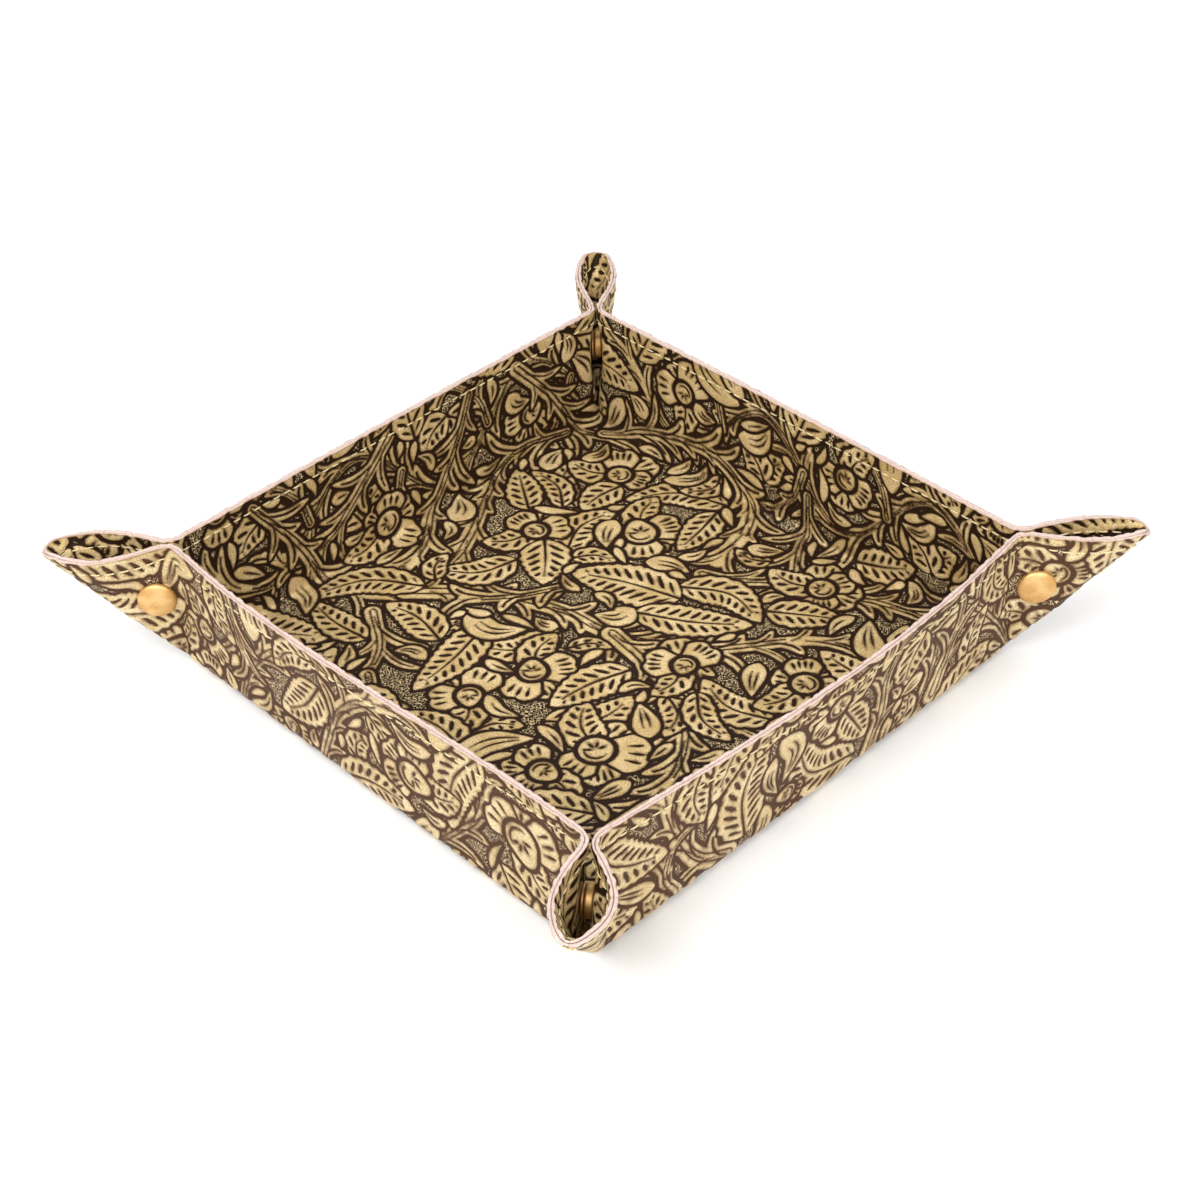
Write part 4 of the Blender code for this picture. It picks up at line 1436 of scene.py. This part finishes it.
# %% Cap and socket
SNAP_GAP = 0.0003
SUNK = 0.00012
TUBE_RADIUS = 0.0017
TUBE_REACH = 0.0008


def arc(centre, radii, start, end, number):
    """Points on an ellipse's arc between two angles."""
    angle = np.linspace(start, end, number)
    radius, height = centre[0] + radii[0] * np.cos(angle), centre[1] + radii[1] * np.sin(angle)
    return list(zip(np.round(radius, 9), np.round(height, 9)))


def cap_profile():
    """A low dome that rolls over a thin rim, closed below, with its tube."""
    under = SEAT + LEATHER - SUNK
    dome = arc((0, under + 0.0008), (0.00625, 0.0020), math.pi / 2, 0.12, 18)
    roll = arc((0.00585, under + 0.00045), (0.0004, 0.00045), 0.5, -math.pi / 2, 8)
    foot = SEAT - TUBE_REACH
    return [*dome, *roll, (TUBE_RADIUS, under), (TUBE_RADIUS, foot), (0, foot)]


def socket_profile():
    """A drawn cup with a rolled mouth and a floor round the tube."""
    top = SEAT - SNAP_GAP
    shoulder = arc((0.0045, top - 0.0005), (0.0005, 0.0005), math.pi / 2, 0, 5)
    mouth = arc((0.0045, top - 0.0019), (0.0005, 0.0005), 0, -math.pi, 9)
    throat = [(0.0036, top - 0.0009), (0.0026, top - 0.0021), (0.0026, top - 0.0005)]
    return [(0.0021, top), *shoulder, *mouth, *throat, (0.0021, top - 0.0005)]


# %% Stud and post
def stud_profile():
    """A flange with a waisted, round-headed stud on it, open round the post."""
    bottom = SNAP_GAP - SEAT
    flange = bottom + 0.0008
    head = arc((0.00165, flange + 0.0011), (0.00045, 0.0005), -0.9, math.pi / 2, 8)
    waist = [(0.0018, flange + 0.0002), (0.0021, flange)]
    edge = arc((0.0044, bottom + 0.0004), (0.0004, 0.0004), math.pi / 2, -math.pi / 2, 8)
    return [(0.0014, flange + 0.0016), *reversed(head), *waist, *edge, (0.0014, bottom)]


def post_profile():
    """A thin, slightly domed head outside the leather, and its tube."""
    top = -SEAT - LEATHER + SUNK
    end = SNAP_GAP - SEAT + 0.0016
    dome = arc((0, top - 0.0004), (0.0045, 0.0007), 0, -math.pi / 2, 10)
    pin = [(0, end), (0.0008, end), (0.001, end - 0.0002), (0.001, -SEAT)]
    edge = arc((0.0043, top - 0.0002), (0.0002, 0.0002), math.pi / 2, 0, 4)
    return [*pin, (TUBE_RADIUS, -SEAT), (TUBE_RADIUS, top), *edge, *dome]


# %% Where a stud sits
def snap_matrix(corner):
    """The stud's frame on the ear's middle plane: its Z points to the cap."""
    _, opening, _, _, cap_wall = CORNERS[corner]
    apex, out, normal = corner_frame(corner)
    along = np.array([math.atan2(SNAP_INSET, SNAP_HEIGHT) / EIGHTH_TURN])
    forward = float(teardrop(opening, along)[0][0]) * EIGHTH_TURN
    reach = math.hypot(SNAP_INSET, SNAP_HEIGHT)
    centre = apex + reach * (math.sin(forward) * out + math.cos(forward) * np.array([0, 0, 1]))
    axis = normal if WALLS[cap_wall][0][0] == 0 else -normal
    turn = Vector((0, 0, 1)).rotation_difference(Vector(axis)).to_matrix().to_4x4()
    return Matrix.Translation(Vector(centre)) @ turn


# %% Spinning a profile
ROUND_STEPS = 72
SAME_POINT = 0.000001
NO_EDGE = 0.0000005
HARD_ANGLE = math.radians(50)


def turned_mesh(name, profile, place):
    """A profile of (radius, height) spun about Z: closed into a tube, or onto the axis."""
    radius, height = np.array(profile).T
    angle = np.arange(ROUND_STEPS) * math.tau / ROUND_STEPS
    level = np.broadcast_to(height, (ROUND_STEPS, len(height)))
    points = [np.outer(np.cos(angle), radius), np.outer(np.sin(angle), radius), level]
    matrix = np.array(place)
    points = np.stack(points, -1) @ matrix[:3, :3].T + matrix[:3, 3]
    index = np.arange(points.shape[0] * points.shape[1]).reshape(points.shape[:2])
    along = index if radius[0] == 0 else np.concatenate([index, index[:, :1]], axis=1)
    around = np.roll(along, -1, axis=0)
    quads = np.stack([along[:, :-1], around[:, :-1], around[:, 1:], along[:, 1:]], -1)
    return make_mesh(name, points.reshape(-1, 3), quads.reshape(-1, 4), np.zeros((0, 3), int))


def mend(mesh):
    """Poles are merged, normals turned outwards and hard corners kept."""
    bm = bmesh.new()
    bm.from_mesh(mesh)
    bmesh.ops.remove_doubles(bm, verts=bm.verts, dist=SAME_POINT)
    bmesh.ops.dissolve_degenerate(bm, edges=bm.edges, dist=NO_EDGE)
    bmesh.ops.recalc_face_normals(bm, faces=bm.faces)
    bm.to_mesh(mesh)
    bm.free()
    mesh.set_sharp_from_angle(angle=HARD_ANGLE)


# %% The sixteen turned parts
CAP_HALF = {"cap": cap_profile, "socket": socket_profile}
STUD_HALF = {"stud": stud_profile, "post": post_profile}
snap_pieces = []
for corner, (*_, cap_wall) in CORNERS.items():
    stud_wall = next(wall for name, wall in corner_walls if name == corner and wall != cap_wall)
    for wall, parts in ((cap_wall, CAP_HALF), (stud_wall, STUD_HALF)):
        for part, profile in parts.items():
            mesh = turned_mesh(f"{corner}_{part}", profile(), snap_matrix(corner))
            mend(mesh)
            piece = add_object(f"{corner}_{part}_turned", mesh)
            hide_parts(f"{corner}_snap_{part}")
            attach(piece, f"{corner}_{wall}_wing")
            snap_pieces.append(piece)
print(len(snap_pieces), "turned brass parts")

# %% [markdown]
# ## A small helper for materials
# Materials are node graphs. Writing them out by hand is long, so one helper adds a node with its
# settings and links, and the recipes below read from top to bottom.

# %% Node helper
class Graph:
    """A material's nodes. A value may be a number or colour, or another node's output."""

    def __init__(self, name):
        self.material = bpy.data.materials.new(name)
        self.material.use_nodes = True
        self.tree = self.material.node_tree
        self.shader = self.tree.nodes["Principled BSDF"]

    def set(self, node, key, value):
        """Sets an input, or links it to an output."""
        if isinstance(value, bpy.types.NodeSocket):
            self.tree.links.new(value, node.inputs[key])
        else:
            node.inputs[key].default_value = value

    def add(self, kind, inputs=(), **settings):
        """A new node with its settings and inputs."""
        node = self.tree.nodes.new(kind)
        for key, value in settings.items():
            setattr(node, key, value)
        for key, value in dict(inputs).items():
            self.set(node, key, value)
        return node

    def number(self, operation, *values):
        """A sum on one to three values."""
        return self.add("ShaderNodeMath", dict(enumerate(values)), operation=operation).outputs[0]

    def remap(self, value, low, high, to_low=0.0, to_high=1.0):
        """A smooth step from one range to another."""
        inputs = {"Value": value, "From Min": low, "From Max": high}
        inputs |= {"To Min": to_low, "To Max": to_high}
        node = self.add("ShaderNodeMapRange", inputs, interpolation_type="SMOOTHSTEP")
        return node.outputs["Result"]

    def mix(self, share, one, other):
        """From one colour at a share of 0 to the other at 1."""
        node = self.add("ShaderNodeMix", {0: share}, data_type="RGBA")
        self.set(node, 6, one)
        self.set(node, 7, other)
        return node.outputs[2]

    def attribute(self, name):
        """A number that the mesh carries."""
        return self.add("ShaderNodeAttribute", attribute_name=name).outputs["Fac"]

    def noise(self, where, scale, detail=2.0, rough=0.5):
        """Cloudy noise with so many clouds to a unit of where."""
        inputs = {"Vector": where, "Scale": scale, "Detail": detail, "Roughness": rough}
        return self.add("ShaderNodeTexNoise", inputs).outputs["Fac"]

    def cells(self, where, scale, feature):
        """Distances in a pattern of irregular cells."""
        inputs = {"Vector": where, "Scale": scale}
        return self.add("ShaderNodeTexVoronoi", inputs, feature=feature).outputs["Distance"]

    def bump(self, height, strength, distance, normal=None):
        """A normal tilted by a height, on top of another if there is one."""
        inputs = {"Height": height, "Strength": strength, "Distance": distance}
        if normal is not None:
            inputs["Normal"] = normal
        return self.add("ShaderNodeBump", inputs).outputs["Normal"]


def colour(red, green, blue):
    """A colour as it looks on a screen, 0 to 255, made linear for the renderer."""
    share = np.array([red, green, blue]) / 255
    linear = np.where(share <= 0.04045, share / 12.92, ((share + 0.055) / 1.055) ** 2.4)
    return (*[float(v) for v in linear], 1.0)


# %% [markdown]
# ## Antiqued leather
# The grooves hold a dark brown paste, and the raised parts are wiped with a gold finish that
# darkens towards their edges, partly from the paste left there and partly as painted shade of
# the relief. An image could show that, but the pattern's own gold distance is at hand, so the
# colour follows it: dark outside, a mid brown edge, then gold, all of it broken up a little by
# noise so that no line is perfect. The ground is dark with fine bright specks where the matting
# tool left tips. The outer ply is the same leather, a little paler, its dark most, partly as
# painted sheen from the haze of its gloss. Noise scales count for the whole grid, which is 304 mm
# wide.

# %% Leather
TAN = colour(176, 142, 104)
WOBBLE_SCALE = 420.0
STAIN_AND_SHADE_SCALE = 55.0
BLOTCH_SCALE = 26.0
FINE_SCALE = 620.0
MATTING_SCALE = 330.0
THREAD_SCALE = 500.0
DARK_ROUGHNESS = 0.62
GOLD_ROUGHNESS = 0.42
GOLD_METALLIC = 0.25
LEATHER_SPECULAR = 0.15


def leather_material(name, gold, pale, stain_and_shade, dark, stain_and_shade_width):
    """Dark to mid brown to gold by the gold distance in mm. The mid brown lies along the gold's
    edges, over the given width, and is partly the paste's stain and partly painted shade.
    """
    graph = Graph(name)
    where = graph.add("ShaderNodeUVMap", uv_map="sheet").outputs["UV"]
    wobble = graph.noise(where, WOBBLE_SCALE, 3.0)
    distance = graph.number("MULTIPLY_ADD", wobble, 0.5, graph.attribute("gold"))
    distance = graph.number("SUBTRACT", distance, 0.25)
    shown = graph.remap(distance, -0.10, 0.14)
    # Painted shade: the gold darkens towards its edges over a width made uneven by noise, partly
    # the paste left along the edges and partly the shade of the relief.
    stain_and_shade_noise = graph.noise(where, STAIN_AND_SHADE_SCALE, 4.0, 0.6)
    stain_and_shade_distance = graph.number("MULTIPLY_ADD", stain_and_shade_noise, 2.2 * stain_and_shade_width, distance)
    full = graph.remap(stain_and_shade_distance, 0.75 * stain_and_shade_width, 2.1 * stain_and_shade_width)
    blotch = graph.noise(where, BLOTCH_SCALE, 4.0, 0.6)
    fine = graph.noise(where, FINE_SCALE, 4.0, 0.75)
    wiped = graph.mix(graph.remap(blotch, 0.35, 0.68), gold, pale)
    wiped = graph.mix(graph.remap(fine, 0.49, 0.60, 0.0, 0.75), wiped, stain_and_shade)
    raised = graph.mix(full, stain_and_shade, wiped)
    threads = graph.noise(where, THREAD_SCALE)
    edges = graph.cells(where, MATTING_SCALE, "DISTANCE_TO_EDGE")
    threads = graph.number("MULTIPLY_ADD", threads, 0.4, edges)
    matted = graph.remap(graph.attribute("ground"), 0.1, 0.4)
    specks = graph.number("MULTIPLY", graph.remap(threads, 0.27, 0.21), matted)
    stained = graph.mix(graph.remap(fine, 0.42, 0.34, 0.0, 0.6), dark, stain_and_shade)
    tooled = graph.mix(shown, graph.mix(specks, stained, pale), raised)
    inside_rim = graph.remap(graph.attribute("rim"), 0.10, 0.55)
    graph.set(graph.shader, "Base Color", graph.mix(inside_rim, TAN, tooled))
    polish = graph.number("MULTIPLY", shown, full)
    roughness = graph.remap(polish, 0.0, 1.0, DARK_ROUGHNESS, GOLD_ROUGHNESS)
    graph.set(graph.shader, "Roughness", roughness)
    graph.set(graph.shader, "Metallic", graph.number("MULTIPLY", shown, GOLD_METALLIC))
    graph.set(graph.shader, "Specular IOR Level", LEATHER_SPECULAR)
    normal = graph.bump(graph.cells(where, FINE_SCALE, "F1"), 0.25, 0.0003)
    normal = graph.bump(fine, 0.35, 0.00025, normal)
    graph.set(graph.shader, "Normal", graph.bump(specks, 0.6, 0.0003, normal))
    return graph.material


# %% The two leathers
inside_leather = leather_material(
    "gold tooled leather inside",
    gold=colour(214, 185, 126),
    pale=colour(243, 217, 166),
    # mid brown for specks, and for the gold's edges, where it is partly stain and partly painted
    # shade
    stain_and_shade=colour(112, 86, 52),
    dark=colour(34, 16, 5),
    stain_and_shade_width=0.85,
)
# The outer ply's colours, its dark most, are paler than the inner ply's partly as painted sheen:
# the haze of its gloss is painted into them.
outside_leather = leather_material(
    "gold tooled leather outside",
    gold=colour(214, 189, 138),
    pale=colour(236, 214, 170),
    # mid brown for specks, and for the gold's edges, where it is partly stain and partly painted
    # shade
    stain_and_shade=colour(122, 96, 70),
    dark=colour(75, 50, 33),
    stain_and_shade_width=1.1,
)
print("leather materials:", inside_leather.name, "and", outside_leather.name)

# %% [markdown]
# ## Raw edge, thread and brass
# The trimmed rim shows undyed, pinkish fibres. The thread is cream, with painted shade and light
# of its twisted strands in bands along it, and the studs are brushed brass under a satin lacquer.
# Scales here count for a metre.

# %% Raw edge
def raw_edge_material():
    """Pale fibres, with patches that are a little more tanned."""
    graph = Graph("raw leather edge")
    where = graph.add("ShaderNodeTexCoord").outputs["Object"]
    fibres = graph.noise(where, 2600.0, 5.0, 0.7)
    base = graph.remap(fibres, 0.35, 0.7)
    base = graph.mix(base, colour(198, 172, 160), colour(236, 216, 206))
    tanned = graph.remap(graph.noise(where, 180.0), 0.5, 0.75, 0.0, 0.3)
    graph.set(graph.shader, "Base Color", graph.mix(tanned, base, colour(208, 180, 160)))
    graph.set(graph.shader, "Roughness", 0.92)
    graph.set(graph.shader, "Normal", graph.bump(fibres, 0.7, 0.0003))
    return graph.material


# %% Thread
def thread_material():
    """Cream with painted shade and light of its strands, as the sine of the length along the
    thread.
    """
    graph = Graph("cream thread")
    where = graph.add("ShaderNodeTexCoord").outputs["Object"]
    along = graph.number("MULTIPLY", graph.attribute("along_thread"), 9.0)
    # Painted shade and light: the ridges of the twisted strands as bands, a sine along the thread.
    twist_shade = graph.remap(graph.number("SINE", along), -1.0, 0.2)
    shade = graph.mix(twist_shade, colour(198, 178, 124), colour(236, 222, 176))
    graph.set(graph.shader, "Base Color", shade)
    graph.set(graph.shader, "Roughness", 0.7)
    graph.set(graph.shader, "Normal", graph.bump(graph.noise(where, 5000.0), 0.4, 0.0001))
    return graph.material


# %% Brass
def brass_material():
    """Rubbed and tarnished brass in clouds, with small dark pits."""
    graph = Graph("satin brass")
    where = graph.add("ShaderNodeTexCoord").outputs["Object"]
    tarnish = graph.remap(graph.noise(where, 220.0, 3.0), 0.35, 0.7)
    rubbed = graph.mix(tarnish, colour(208, 162, 98), colour(226, 188, 130))
    pits = graph.remap(graph.noise(where, 1400.0, 3.0, 0.7), 0.60, 0.68, 0.0, 0.45)
    graph.set(graph.shader, "Base Color", graph.mix(pits, rubbed, colour(150, 108, 62)))
    graph.set(graph.shader, "Metallic", 0.85)
    brushed = graph.remap(graph.noise(where, 900.0, 3.0), 0.3, 0.7, 0.42, 0.56)
    graph.set(graph.shader, "Roughness", brushed)
    graph.set(graph.shader, "Normal", graph.bump(graph.noise(where, 1600.0), 0.15, 0.0001))
    return graph.material


raw_edge, thread, brass = raw_edge_material(), thread_material(), brass_material()
print("other materials:", raw_edge.name, thread.name, brass.name, sep=", ")

# %% [markdown]
# ## Handing out the finishes
# A piece of leather has two finishes, which its faces choose between: the tooled face and the raw
# edge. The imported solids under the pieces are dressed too, so that nothing is left bare.

# %% Materials on every piece
for piece, side in leather_pieces:
    piece.data.materials.append(inside_leather if side.sign < 0 else outside_leather)
    piece.data.materials.append(raw_edge)
for piece in thread_pieces:
    piece.data.materials.append(thread)
for piece in snap_pieces:
    piece.data.materials.append(brass)
for name, node in frame["nodes"].items():
    leather = inside_leather if name.endswith("inner_ply") else outside_leather
    node.data.materials.clear()
    node.data.materials.append(brass if "_snap_" in name else leather)
print("dressed:", len(leather_pieces) + len(thread_pieces) + len(snap_pieces), "pieces")

# %% [markdown]
# ## The floor and the white around it
# The photograph is a cut-out on white under soft, even light. A pale floor that fades to plain
# white away from the tray gives that, under a white sky, and near the tray it keeps a faint
# shadow. Only rays that the camera sees, straight or in a shiny part, meet the plain white, so
# the background can be white without more light on the leather.

# %% Floor
WHITE = (1.0, 1.0, 1.0, 1.0)
FLOOR_GREY = (0.92, 0.92, 0.92, 1.0)
FLOOR_HALF = 6.0
FLOOR_DROP = 0.0005
FADE_START = 0.25
FADE_END = 0.80


def seen_directly(tree):
    """1 for rays from the camera, a mirror or through glass, and 0 for those that only light."""
    path = tree.nodes.new("ShaderNodeLightPath")
    total = path.outputs["Is Camera Ray"]
    for name in ("Is Glossy Ray", "Is Transmission Ray"):
        node = tree.nodes.new("ShaderNodeMath")
        node.operation, node.use_clamp = "ADD", True
        tree.links.new(total, node.inputs[0])
        tree.links.new(path.outputs[name], node.inputs[1])
        total = node.outputs[0]
    return total


def stage_material():
    """Matt grey near the middle that fades to plain white with the distance from it."""
    graph = Graph("pale floor")
    graph.set(graph.shader, "Base Color", FLOOR_GREY)
    graph.set(graph.shader, "Roughness", 0.9)
    where = graph.add("ShaderNodeTexCoord").outputs["Object"]
    away = graph.add("ShaderNodeVectorMath", {0: where}, operation="LENGTH").outputs["Value"]
    fade = graph.remap(away, FADE_START, FADE_END)
    share = graph.number("MULTIPLY", fade, seen_directly(graph.tree))
    glow = graph.add("ShaderNodeEmission", {"Color": WHITE, "Strength": 1.0}).outputs[0]
    shaders = {0: share, 1: graph.shader.outputs[0], 2: glow}
    both = graph.add("ShaderNodeMixShader", shaders).outputs[0]
    graph.set(graph.tree.nodes["Material Output"], "Surface", both)
    return graph.material


floor = add_object("studio_floor", bpy.data.meshes.new("studio_floor"))
around = [(-1, -1), (1, -1), (1, 1), (-1, 1)]
corners = [(x * FLOOR_HALF, y * FLOOR_HALF, -FLOOR_DROP) for x, y in around]
floor.data.from_pydata(corners, [], [range(4)])
floor.data.materials.append(stage_material())
floor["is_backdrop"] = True
print("floor:", 2 * FLOOR_HALF, "m square")

# %% [markdown]
# ## Sky, lamps and camera
# The light is a white sky with two large lamps for a little direction, all soft. The camera
# stands where the corners of the tray in the picture say that it stood, some 0.77 m away.

# %% Sky
SKY_STRENGTH = 0.8

world = bpy.data.worlds.new("white sky")
bpy.context.scene.world = world
world.use_nodes = True
sky_tree = world.node_tree
sky = sky_tree.nodes["Background"]
sky.inputs["Color"].default_value = WHITE
strength = sky_tree.nodes.new("ShaderNodeMath")
strength.operation = "MULTIPLY_ADD"
sky_tree.links.new(seen_directly(sky_tree), strength.inputs[0])
strength.inputs[1].default_value = 1 - SKY_STRENGTH
strength.inputs[2].default_value = SKY_STRENGTH
sky_tree.links.new(strength.outputs[0], sky.inputs["Strength"])
print("sky strength:", SKY_STRENGTH, "as light, and 1 where it is seen")

# %% Lamps
LAMP_SIZE = 1.0
LAMPS = {"key lamp": ((0.1, -1.0, 1.2), 17.0), "fill lamp": ((1.2, -0.2, 0.9), 9.0)}
LIT_MIDDLE = Vector((0, 0, 0.02))

for name, (place, power) in LAMPS.items():
    light = bpy.data.lights.new(name, "AREA")
    light.energy, light.size = power, LAMP_SIZE
    lamp = add_object(name, light)
    lamp.location = place
    lamp.rotation_euler = (LIT_MIDDLE - Vector(place)).to_track_quat("-Z", "Y").to_euler()
print(len(LAMPS), "lamps")

# %% Camera
LENS = 72.38
SENSOR = 36.0
STAND = Vector((0.43033, -0.4132, 0.50694))
TARGET = Vector((0.0007, 0.0014, 0.02228))
ROLL = -0.0238

camera = add_object("camera", bpy.data.cameras.new("camera"))
camera.data.lens = LENS
camera.data.sensor_width = SENSOR
camera.data.clip_start = 0.01
turn = (TARGET - STAND).to_track_quat("-Z", "Y").to_matrix().to_4x4()
camera.matrix_world = Matrix.Translation(STAND) @ turn @ Matrix.Rotation(ROLL, 4, "Z")
bpy.context.scene.camera = camera
bpy.context.scene.view_settings.view_transform = "Standard"
print("camera:", LENS, "mm lens,", round((TARGET - STAND).length, 2), "m away")

# %% [markdown]
# ## The dressed tray's box
# The box round everything that is shown, the floor apart, is worked out last.

# %% Sizes
low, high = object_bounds()
